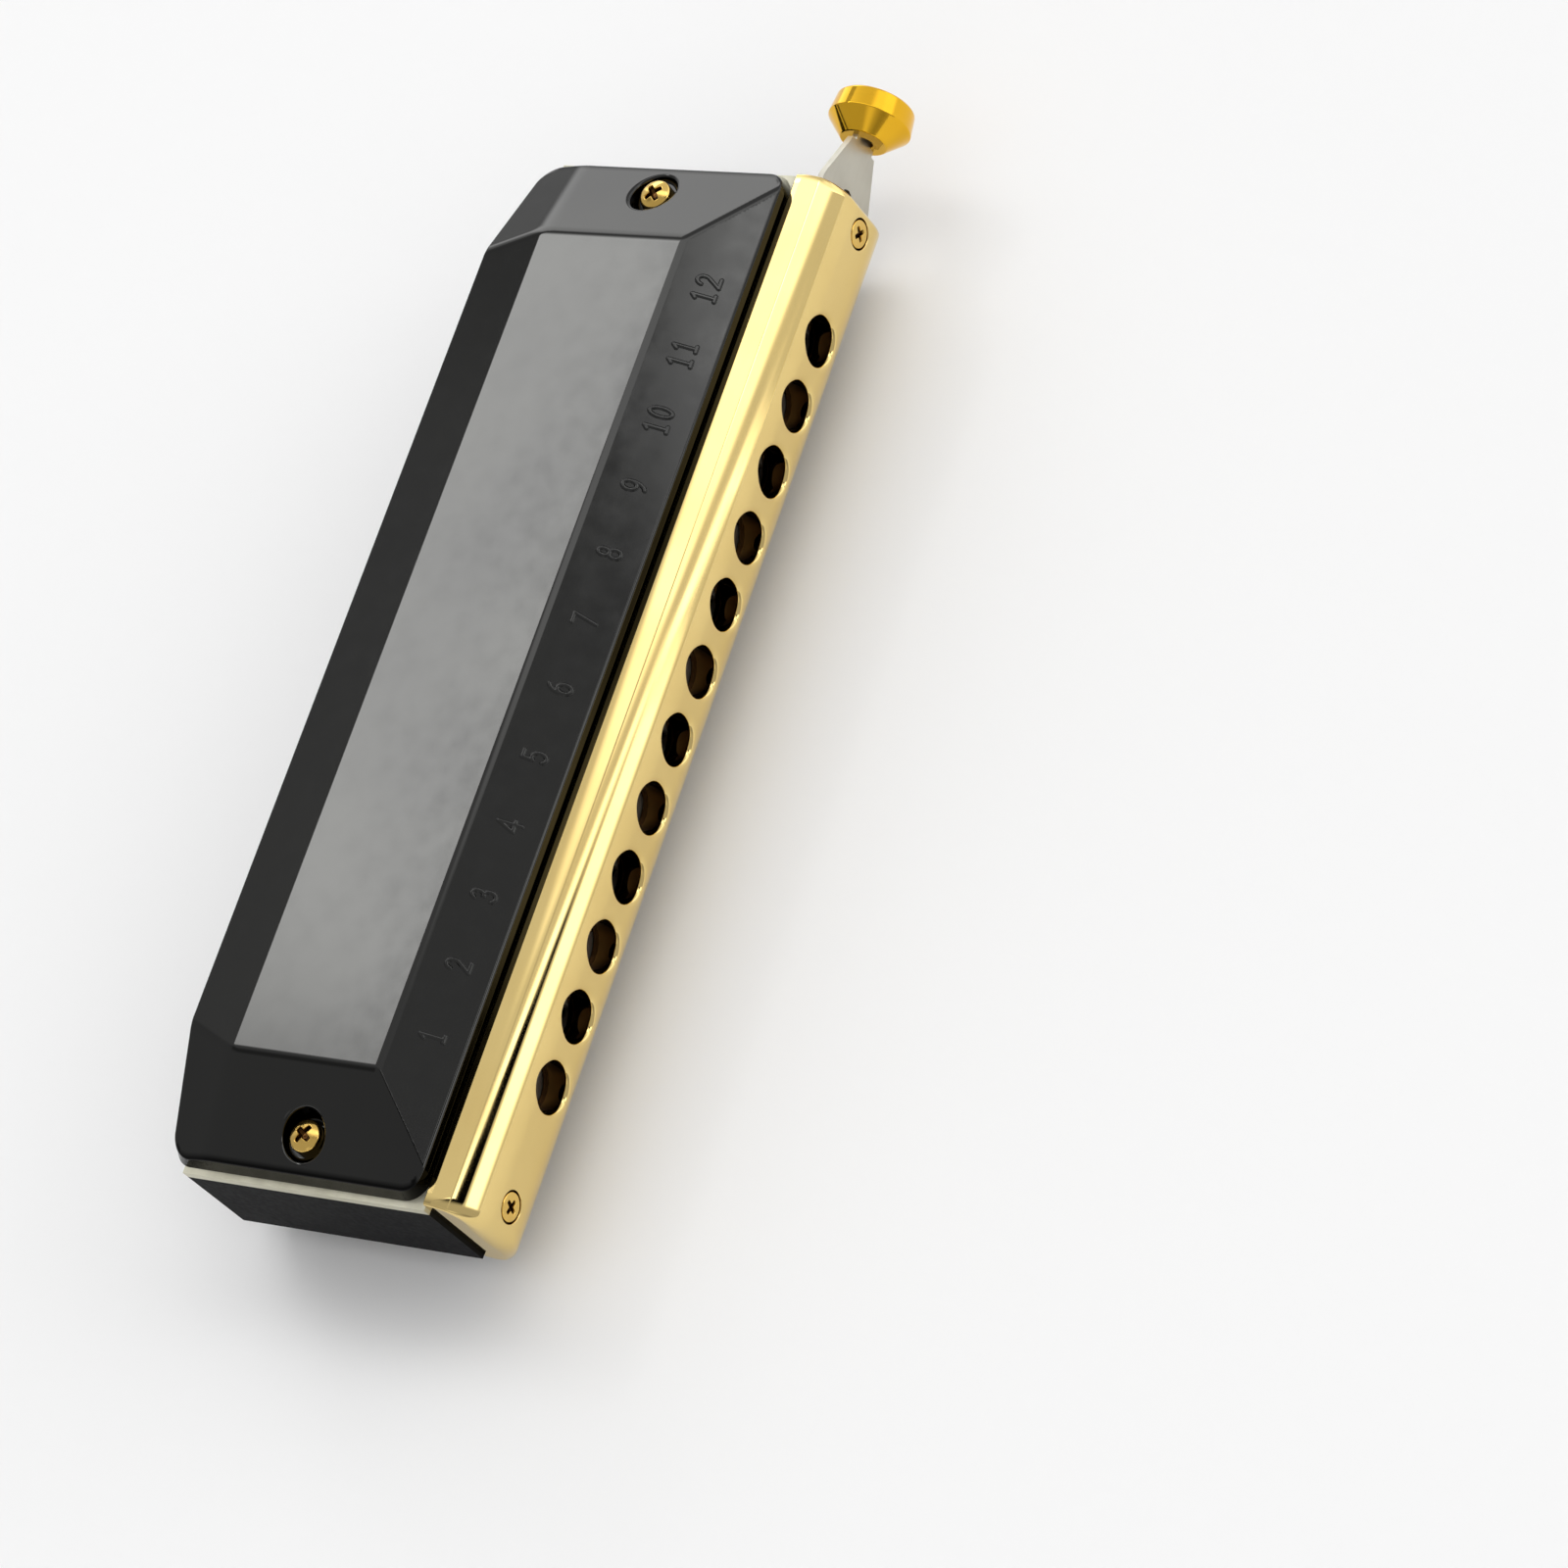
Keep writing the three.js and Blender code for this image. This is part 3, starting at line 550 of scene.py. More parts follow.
class Dresser:
    """Gives finishes to nodes and new pieces, and reports each one."""

    def __init__(self) -> None:
        """Starts with no material made."""
        self.made: dict[str, bpy.types.Material] = {}

    def _material(self, finish: Finish) -> bpy.types.Material:
        """Gives the finish's material, made once."""
        if finish.name not in self.made:
            self.made[finish.name] = finish.material()
        return self.made[finish.name]

    def paint(self, target: bpy.types.Object, finish: Finish) -> None:
        """Puts a finish on an object in place of what it has."""
        target.data.materials.clear()
        target.data.materials.append(self._material(finish))

    def keep(self, node: str, finish: Finish) -> None:
        """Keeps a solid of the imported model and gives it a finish."""
        self.paint(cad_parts[node], finish)
        log.info("kept %s in %s", node, finish.name)

    def settle(self, skin: Skin, finish: Finish, body: Body, *nodes: str) -> bpy.types.Object:
        """Makes a skin's object, finishes it, and fixes it to its body.

        Args:
            skin: The surface to make.
            finish: Its finish.
            body: The body that it moves with.
            nodes: The solids it stands for.

        Returns:
            The finished object.
        """
        made = self.finished(skin, finish, *nodes)
        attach(made, body.value)
        return made

    def finished(self, skin: Skin, finish: Finish, *nodes: str) -> bpy.types.Object:
        """Makes and finishes a skin's object without fixing it to a body.

        Args:
            skin: The surface to make.
            finish: Its finish.
            nodes: The solids it stands for.

        Returns:
            The finished object.
        """
        made = skin.object()
        self.paint(made, finish)
        if nodes:
            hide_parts(*nodes)
        log.info("made %s in %s, %d faces", made.name, finish.name, len(made.data.polygons))
        return made


# Covers


@dataclass
class CoverForm:
    """The pressed sheet's outer face, or its inner face where wall is more than 0.

    The face is the soft minimum of five flat faces (panel, front slope, rear strip, end slopes and
    rear shoulders), drawn in by the wall, and it rolls down at the rim by a quarter circle.
    """

    wall: float = 0.0
    half: float = 68.2
    front: float = 0.3
    rear: float = 37.2
    corner: float = 3.0
    top: float = 13.4
    panel_front: float = 8.5
    panel_rear: float = 29.5
    panel_half: float = 55.9
    front_rim: float = 9.5
    rear_rim: float = 12.9
    end_rim: float = 8.6
    shoulder_turn: float = math.atan2(4.4, 7.7)
    shoulder_rim: float = 7.3
    rim_radius: float = 0.24
    front_blend: float = 0.22
    rear_blend: float = 0.0105
    end_blend: float = 0.3
    shoulder_blend: float = 0.3
    foot: float = 7.0
    least_rim: float = 0.1
    foot_room: float = 0.05
    slope_step: float = 0.01

    def planes(self, x: Array, y: Array) -> Array:
        """Works out the soft minimum of the five faces, before the rim.

        Args:
            x: Places along the row of holes.
            y: Places from front to rear, of the same shape.

        Returns:
            The height at each place.
        """
        fall = (self.top - self.front_rim) / (self.panel_front - self.front)
        front = self.top - (self.panel_front - y) * fall - self._thick(fall)
        fall = (self.top - self.rear_rim) / (self.rear - self.panel_rear)
        rear = self.top - (y - self.panel_rear) * fall - self._thick(fall)
        fall = (self.top - self.end_rim) / (self.half - self.panel_half)
        end = self.top - (np.abs(x) - self.panel_half) * fall - self._thick(fall)
        way = np.array([math.cos(self.shoulder_turn), math.sin(self.shoulder_turn)])
        start = way @ (self.panel_half, self.panel_rear)
        reach = way @ (self.half, self.rear) - start
        fall = (self.top - self.shoulder_rim) / reach
        shoulder = self.top - (np.abs(x) * way[0] + y * way[1] - start) * fall - self._thick(fall)
        face = soft_min(np.full_like(front, self.top - self.wall), front, self.front_blend)
        face = soft_min(face, rear, self.rear_blend)
        face = soft_min(face, end, self.end_blend)
        return soft_min(face, shoulder, self.shoulder_blend)

    def _thick(self, fall: float) -> float:
        """Gives the wall measured straight down through a face of that fall."""
        return self.wall * math.hypot(1.0, fall)

    def rim(self, x: Array, y: Array) -> tuple[Array, Array]:
        """Measures how far a point lies inside the rounded rectangle of the rim.

        Args:
            x: Places along the row of holes.
            y: Places from front to rear, of the same shape.

        Returns:
            The distance to the rim, and the level direction towards it, whose last axis is x, y.
        """
        radius = self.corner - self.wall
        middle = (self.front + self.rear) / 2
        side = np.stack(np.broadcast_arrays(x, y - middle), axis=-1)
        reach = np.array([self.half - self.wall, middle - self.front - self.wall]) - radius
        past = np.abs(side) - reach
        outer = np.maximum(past, 0.0)
        length = np.linalg.norm(outer, axis=-1)
        distance = radius - length - np.minimum(past.max(axis=-1), 0.0)
        nearest = np.where(past == past.max(axis=-1, keepdims=True), 1.0, 0.0)
        way = np.where(length[..., None] > ROUNDING, outer, nearest) * np.sign(side)
        return distance, unit(way)

    def surface(self, x: Array, y: Array) -> tuple[Array, Array]:
        """Gives the face's points and normals over x and y.

        With c the cosine and s the sine of the angle rolled through at the rim, the drop is
        r (1 - s), and the normal is s times the planes' normal plus c times the way outwards.

        Args:
            x: Places along the row of holes.
            y: Places from front to rear.

        Returns:
            The points and their unit normals.
        """
        x, y = np.broadcast_arrays(np.asarray(x, float), np.asarray(y, float))
        distance, way = self.rim(x, y)
        radius = max(self.rim_radius - self.wall, self.least_rim)
        c = np.clip((radius - distance) / radius, 0.0, 1.0)
        s = np.sqrt(1.0 - c * c)
        plain = self.planes(x, y)
        room = np.clip((plain - self.foot - self.foot_room) / radius, self.foot_room, 1.0)
        z = plain - radius * (1.0 - s) * room
        step = self.slope_step
        rise_x = (self.planes(x + step, y) - self.planes(x - step, y)) / (2 * step)
        rise_y = (self.planes(x, y + step) - self.planes(x, y - step)) / (2 * step)
        upper = unit(np.stack([-rise_x, -rise_y, np.ones_like(z)], axis=-1))
        level = np.concatenate([way, np.zeros((*z.shape, 1))], axis=-1)
        normal = unit(s[..., None] * upper + c[..., None] * level)
        return np.stack([x, y, z], axis=-1), normal


@dataclass
class Covers:
    """The upper and lower covers: pressed sheet with two cups for the bolts and an open rear."""

    sheet: float = LAYOUT.sheet
    outer: CoverForm = field(default_factory=CoverForm)
    opening_half: float = 50.0
    opening_corner: float = 1.5
    opening_margin: float = 1.0
    flare: float = 0.6
    skirt_levels: tuple[float, float] = (0.35, 0.0)
    cup_radius: float = 2.95
    cup_lip: float = 0.6
    cup_floor: float = 8.5
    cup_wall: float = 0.9
    block_x: tuple[float, float] = (59.3, 67.35)
    block_y: tuple[float, float] = (13.4, 22.2)
    block_inset: float = 0.08
    row_reach: float = 0.01
    line_reach: float = 0.002
    cup_shade: float = 0.6
    shaded_rim: tuple[float, float] = (0.62, 0.5)
    shaded_end: tuple[float, float] = (1.6, 1.0)
    inner_roll: float = 0.8
    panel_gap: float = 6.25
    upright_gap: float = 0.5
    crease_gap: float = 0.17
    cup_gap: float = 0.4
    side_gap: float = 0.9
    corner_gap: float = 0.3
    crease_margin: float = 0.8
    roll_lines: int = 10
    corner_lines: int = 19
    lip_lines: int = 7

    def columns(self, form: CoverForm) -> tuple[Array, Array]:
        """Spaces the lines across the cover, closer where it bends.

        Args:
            form: The outer or the inner face.

        Returns:
            The x lines of the straight part, and the end's lines as distances in from the rim.
        """
        straight = steps(
            (0, self.panel_gap), (self.opening_half, self.upright_gap),
            (self.opening_half + self.opening_margin, self.crease_gap), (self.block_x[0], self.cup_gap),
            (self.outer.half - self.outer.corner, 1),
        )
        roll = form.rim_radius if form.wall == 0 else self.inner_roll
        rolled = roll * (1 - np.cos(right_angle(self.roll_lines)))
        edge = self.outer.half - self.block_x[1]
        ends = np.concatenate([rolled, steps((edge, self.corner_gap), (self.outer.corner, 1))])[::-1]
        drawn_in = [0, self.block_inset, self.outer.corner - self.sheet]
        inner = np.interp(ends, [0, edge, self.outer.corner], drawn_in)
        return straight, (ends if form.wall == 0 else inner)

    def grid(self, form: CoverForm) -> tuple[Array, Array]:
        """Gives the x and y of every grid point of one face, rows along y and columns along x.

        The rows within a corner circle of radius R stand at R (1 - cos t), and each row's last
        columns follow the rim in.

        Args:
            form: The outer or the inner face.

        Returns:
            The x and the y of the points.
        """
        radius = form.corner - form.wall
        turns = right_angle(self.corner_lines)
        near = form.front + form.wall + radius * (1 - np.cos(turns))
        far = form.rear - form.wall - radius * (1 - np.cos(turns[::-1]))
        block = self.block_y
        middle = steps(
            (near[-1], self.crease_gap), (form.panel_front + self.crease_margin, self.side_gap),
            (block[0], self.cup_gap), (block[1], self.side_gap),
            (form.panel_rear - self.crease_margin, self.crease_gap), (far[0], 1),
        )
        rows = np.concatenate([near, middle[1:-1], far])
        inward = np.maximum(radius - np.minimum(rows - near[0], far[-1] - rows), 0.0)
        start = form.half - form.corner
        end = start + np.sqrt(np.maximum(radius**2 - inward**2, 0.0))
        straight, ends = self.columns(form)
        share = 1 - ends / (self.outer.corner - form.wall)
        right = start + (end[:, None] - start) * share[None, 1:]
        half = np.concatenate([np.broadcast_to(straight, (len(rows), len(straight))), right], axis=1)
        x = np.concatenate([-half[:, :0:-1], half], axis=1)
        return x, np.broadcast_to(rows[:, None], x.shape)

    def face(self, skin: Skin, form: CoverForm) -> tuple[Array, Array]:
        """Adds one face without its cups' blocks, then the cups.

        Args:
            skin: The cover's surface.
            form: The outer or the inner face.

        Returns:
            The rim's points in order round the footprint, and the way outwards at each.
        """
        x, y = self.grid(form)
        points, normals = form.surface(x, y)
        middle_x = (x[:-1, :-1] + x[1:, 1:]) / 2
        middle_y = (y[:-1, :-1] + y[1:, 1:]) / 2
        right = self.block_x[1] if form.wall == 0 else self.outer.half - form.wall - self.block_inset
        within = (middle_y > self.block_y[0]) & (middle_y < self.block_y[1])
        within &= (np.abs(middle_x) > self.block_x[0]) & (np.abs(middle_x) < right)
        # Paints shade in a band just inside the rim near both ends
        distance, _ = form.rim(x, y)
        inner_edge, outer_edge = self.shaded_end
        at_end = smooth_share(form.half - inner_edge, form.half - outer_edge, np.abs(x) + distance)
        skin.sheet(points, normals, ~within, inside=smooth_share(*self.shaded_rim, distance) * at_end)
        for side in (-1, 1):
            self.cup(skin, form, x, y, side, right)
        loop = border(points)
        _, way = form.rim(loop[:, 0], loop[:, 1])
        return loop, np.concatenate([way, np.zeros((len(way), 1))], axis=1)

    def cup(self, skin: Skin, form: CoverForm, x: Array, y: Array, side: int, right: float) -> None:
        """Adds a bolt's cup: rings from the block's outline to a circle, its lip, wall and floor.

        Args:
            skin: The cover's surface.
            form: The outer or the inner face.
            x: The face's grid.
            y: The face's grid.
            side: -1 at the left end and 1 at the right.
            right: How far from the middle the block reaches.
        """
        reach = self.row_reach
        rows = np.flatnonzero((y[:, 0] > self.block_y[0] - reach) & (y[:, 0] < self.block_y[1] + reach))
        line = x[rows[0]] * side
        columns = np.flatnonzero((line > self.block_x[0] - reach) & (line < right + self.line_reach))
        r0, r1, c0, c1 = rows[0], rows[-1], columns[0], columns[-1]
        ring = [(r0, c) for c in range(c0, c1)] + [(r, c1) for r in range(r0, r1)]
        ring += [(r1, c) for c in range(c1, c0, -1)] + [(r, c0) for r in range(r1, r0 - 1, -1)]
        index = np.array(ring).T
        edge_x, edge_y = x[tuple(index)], y[tuple(index)]
        centre_x, centre_y = side * LAYOUT.bolt_x, LAYOUT.bolt_y
        angle = np.arctan2(edge_y - centre_y, edge_x - centre_x)
        ray = np.stack([np.cos(angle), np.sin(angle)], axis=-1)
        outer_face = form.wall == 0
        radius = self.cup_radius + (self.cup_lip if outer_face else self.cup_wall)
        share = np.linspace(0, 1, RINGS)[:, None]
        ring_x = lerp(edge_x, centre_x + radius * ray[:, 0], share)
        ring_y = lerp(edge_y, centre_y + radius * ray[:, 1], share)
        skin.sheet(*form.surface(ring_x, ring_y))
        inward = np.concatenate([-ray, np.zeros((len(ray), 1))], axis=1)
        up = np.array([0.0, 0.0, 1.0])

        def at(distance: float, z: Array) -> Array:
            """Gives the ring of that radius at height z."""
            level = np.array([centre_x, centre_y]) + distance * ray
            return np.concatenate([level, np.broadcast_to(z, len(ray))[:, None]], axis=1)

        def face_height(distance: float) -> Array:
            """Gives the face's height on the ring of that radius."""
            place = at(distance, 0.0)
            return form.surface(place[:, 0], place[:, 1])[0][:, 2]

        if not outer_face:
            brim = face_height(radius)
            walls = [at(radius, lerp(brim, self.outer.foot, k)) for k in np.linspace(0, 1, WALL_ROWS)]
            skin.sheet(np.array(walls), np.broadcast_to(-inward, (WALL_ROWS, *inward.shape)))
            floor = np.array([at(radius, self.outer.foot), at(0.0, self.outer.foot)])
            skin.sheet(floor, np.broadcast_to(up, floor.shape))
            return
        turns = right_angle(self.lip_lines)
        lip = [at(self.cup_radius + self.cup_lip * (1 - math.sin(t)), 0.0) for t in turns]
        for ring_points, t in zip(lip, turns):
            distance = self.cup_radius + self.cup_lip * (1 - math.sin(t))
            ring_points[:, 2] = face_height(distance) - self.cup_lip * (1 - math.cos(t))
        brim = lip[-1][:, 2]
        slope = form.surface(lip[0][:, 0], lip[0][:, 1])[1]
        lip_way = [unit(math.cos(t) * slope + math.sin(t) * inward) for t in turns]
        skin.sheet(np.array(lip), np.array(lip_way))
        low = self.cup_floor + self.cup_lip
        walls = [at(self.cup_radius, lerp(brim, low, k)) for k in np.linspace(0, 1, WALL_ROWS)]
        wall_way = np.broadcast_to(inward, (WALL_ROWS, *inward.shape))
        skin.sheet(np.array(walls), wall_way, inside=self.cup_shade)
        bowl, bowl_way = [], []
        for t in turns:
            distance = self.cup_radius - self.cup_lip * (1 - math.cos(t))
            bowl.append(at(distance, low - self.cup_lip * math.sin(t)))
            bowl_way.append(math.cos(t) * inward + math.sin(t) * up)
        bowl.append(at(0.0, self.cup_floor))
        bowl_way.append(np.broadcast_to(up, inward.shape))
        skin.sheet(np.array(bowl), np.array(bowl_way), inside=self.cup_shade)

    def skirt(self, skin: Skin, loop: Array, way: Array, form: CoverForm) -> tuple[Array, ...]:
        """Adds the wall below the rim, with the sound opening left out of the rear.

        Down from the rim the wall goes outwards by the flare, times the square of how far it faces
        the end.

        Args:
            skin: The cover's surface.
            loop: The rim's points in order.
            way: The way outwards at each.
            form: The outer or the inner face.

        Returns:
            The lower edge of the long run round the front, the two upright edges of the opening,
            and the opening's upper edge.
        """
        rear = form.rear - form.wall
        open_side = (np.abs(loop[:, 1] - rear) < NUDGE) & (np.abs(loop[:, 0]) < self.opening_half + NUDGE)
        places = np.flatnonzero(open_side)
        first, last = places[0], places[-1]
        closed = np.concatenate([np.arange(last, len(loop)), np.arange(0, first + 1)])
        run, run_way = loop[closed], way[closed]
        run = np.delete(run, len(loop) - last, axis=0)
        run_way = np.delete(run_way, len(loop) - last, axis=0)
        brim = loop[first, 2]
        opening = 1 - self.opening_corner / (brim - form.foot)
        levels = np.concatenate([np.linspace(1, opening, WALL_ROWS), self.skirt_levels])
        wall = np.repeat(run[None], len(levels), axis=0)
        wall[:, :, 2] = form.foot + (run[:, 2] - form.foot) * levels[:, None]
        wall += self.flare * (1 - levels)[:, None, None] * run_way * run_way[:, :1] ** 2
        # The skirt is painted in full shade
        skin.sheet(wall, np.broadcast_to(run_way, wall.shape), inside=1.0)
        span = loop[first : last + 1]
        corner = self.opening_corner
        into = np.clip(self.opening_half - np.abs(span[:, 0]), 0, corner)
        low = brim - corner + np.sqrt(np.maximum(corner**2 - (corner - into) ** 2, 0.0))
        low = np.where(into >= corner, span[:, 2], low)
        part = (1 - levels[:WALL_ROWS]) / (1 - opening)
        lip = np.repeat(span[None], WALL_ROWS, axis=0)
        lip[:, :, 2] = span[:, 2] + (low - span[:, 2]) * part[:, None]
        skin.sheet(lip, np.broadcast_to(way[first : last + 1], lip.shape))
        uprights = wall[WALL_ROWS - 1 :]
        return wall[-1], uprights[:, 0], uprights[:, -1], lip[-1]

    def shell(self, name: str) -> Skin:
        """Draws a whole cover: both faces, both skirts, and the cut edges between them.

        Args:
            name: Name of the object to be made.

        Returns:
            The upper cover's surface.
        """
        skin = Skin(name)
        inner = CoverForm(wall=self.sheet)
        edges = []
        for form in (self.outer, inner):
            loop, way = self.face(skin, form)
            edges.append(self.skirt(skin, loop, way, form))
        for outside, inside in zip(*edges):
            skin.sheet(np.array([outside, inside]))
        return skin

    def build(self, dresser: Dresser) -> None:
        """Makes both covers. The lower one is the upper one turned over.

        Args:
            dresser: Gives the finishes.
        """
        upper = self.shell("cover_upper_pressed")
        dresser.settle(upper, BLACK_CHROME, Body.FIXED, "cover_upper")
        lower = self.shell("cover_lower_pressed")
        lower.turn_over()
        dresser.settle(lower, BLACK_CHROME, Body.FIXED, "cover_lower")


def arc(centre: tuple[float, float], radii: tuple[float, float], start: float, end: float) -> Array:
    """Draws part of an ellipse from a start angle to an end angle, in degrees."""
    turns = np.radians(np.linspace(start, end, ARC_POINTS))
    return np.stack([centre[0] + radii[0] * np.cos(turns), centre[1] + radii[1] * np.sin(turns)], axis=-1)


def line(*points: tuple[float, float]) -> Array:
    """Draws a broken line through points."""
    return np.array(points, float)


@dataclass
class CoverNumbers:
    """The raised numbers 1 to 12 on the upper cover's front slope, one over each hole.

    The height over the slope is the rise times a smooth step of the distance to the nearest stroke.
    """

    height: float = 2.9
    width: float = 1.55
    advance: float = 2.05
    stroke: float = 0.2
    flank: float = 0.16
    rise: float = 0.2
    sunk: float = 0.03
    foot: float = 0.3
    cell: float = 0.075
    middle_y: float = 4.2
    margin: float = 0.4
    crest: float = 0.06

    @staticmethod
    def strokes(digit: int) -> list[Array]:
        """Draws a digit.

        Args:
            digit: From 0 to 9.

        Returns:
            Its strokes as broken lines, in a box 1 wide and 1 high.
        """
        shapes = {
            0: [arc((0.5, 0.5), (0.38, 0.5), 0, 360)],
            1: [line((0.5, 0.0), (0.5, 1.0), (0.22, 0.84)), line((0.24, 0.0), (0.76, 0.0))],
            2: [arc((0.5, 0.71), (0.37, 0.29), 165, -38), line((0.79, 0.53), (0.12, 0.0), (0.9, 0.0))],
            3: [arc((0.46, 0.75), (0.34, 0.25), 150, -90), arc((0.46, 0.26), (0.4, 0.26), 90, -150)],
            4: [line((0.68, 0.0), (0.68, 1.0), (0.08, 0.3), (0.95, 0.3))],
            5: [line((0.82, 1.0), (0.26, 1.0), (0.19, 0.54)), arc((0.46, 0.31), (0.4, 0.31), 130, -145)],
            6: [arc((0.5, 0.31), (0.37, 0.31), 0, 360), arc((0.78, 0.4), (0.65, 0.6), 180, 100)],
            7: [line((0.1, 1.0), (0.9, 1.0), (0.38, 0.0))],
            8: [arc((0.5, 0.75), (0.29, 0.25), 0, 360), arc((0.5, 0.26), (0.37, 0.26), 0, 360)],
            9: [arc((0.5, 0.69), (0.37, 0.31), 0, 360), arc((0.22, 0.6), (0.65, 0.6), 0, -80)],
        }
        return shapes[digit]

    def distance(self, a: Array, b: Array, number: int) -> Array:
        """Measures how far each point of a patch is from the number's nearest stroke.

        From a stroke's start the point lies at d and the stroke reaches r. The distance is the length
        of d - k r, where k is d.r / r.r held between 0 and 1.

        Args:
            a: Places across the patch, in millimetres from its middle.
            b: Places up the patch, of the same shape.
            number: The number drawn there.

        Returns:
            The distance at each place.
        """
        digits = [int(mark) for mark in str(number)]
        nearest = np.full(a.shape, math.inf)
        for place, digit in enumerate(digits):
            shift = (place - (len(digits) - 1) / 2) * self.advance
            for path in self.strokes(digit):
                ends = (path - 0.5) * (self.width, self.height) + (shift, 0.0)
                start, reach = ends[:-1], np.diff(ends, axis=0)
                offset = np.stack([a, b], axis=-1)[..., None, :] - start
                along = np.clip((offset * reach).sum(-1) / (reach * reach).sum(-1), 0, 1)
                gap = np.linalg.norm(offset - along[..., None] * reach, axis=-1).min(axis=-1)
                nearest = np.minimum(nearest, gap)
        return nearest

    def build(self, dresser: Dresser, form: CoverForm) -> None:
        """Makes all twelve numbers as one piece of thin raised plates.

        Args:
            dresser: Gives the finishes.
            form: The cover's outer face, whose front slope they stand on.
        """
        skin = Skin("cover_numbers")
        fall = (form.top - form.front_rim) / (form.panel_front - form.front)
        tilt = math.atan(fall)
        upward = np.array([0.0, math.cos(tilt), math.sin(tilt)])
        out = np.array([0.0, -math.sin(tilt), math.cos(tilt)])
        base_z = form.top - (form.panel_front - self.middle_y) * fall
        for number, x in enumerate(LAYOUT.hole_places(), start=1):
            half_a = self.width / 2 + (len(str(number)) - 1) * self.advance / 2 + self.margin
            half_b = self.height / 2 + self.margin
            a, b = np.meshgrid(
                np.linspace(-half_a, half_a, round(2 * half_a / self.cell) + 1),
                np.linspace(-half_b, half_b, round(2 * half_b / self.cell) + 1),
            )
            gap = self.distance(a, b, number)
            share = smooth_share(self.stroke + self.flank, self.stroke - self.crest, gap)
            raised = self.rise * share - self.sunk
            middle = np.array([x, self.middle_y, base_z])
            flat = middle + a[..., None] * np.array([1.0, 0, 0]) + b[..., None] * upward
            top = flat + raised[..., None] * out
            low = flat - self.foot * out
            skin.sheet(top)
            skin.walls(top, low)
            skin.cap(border(low)[:-1], tuple(-out))
        dresser.settle(skin, BLACK_CHROME, Body.FIXED)


# Mouthpiece


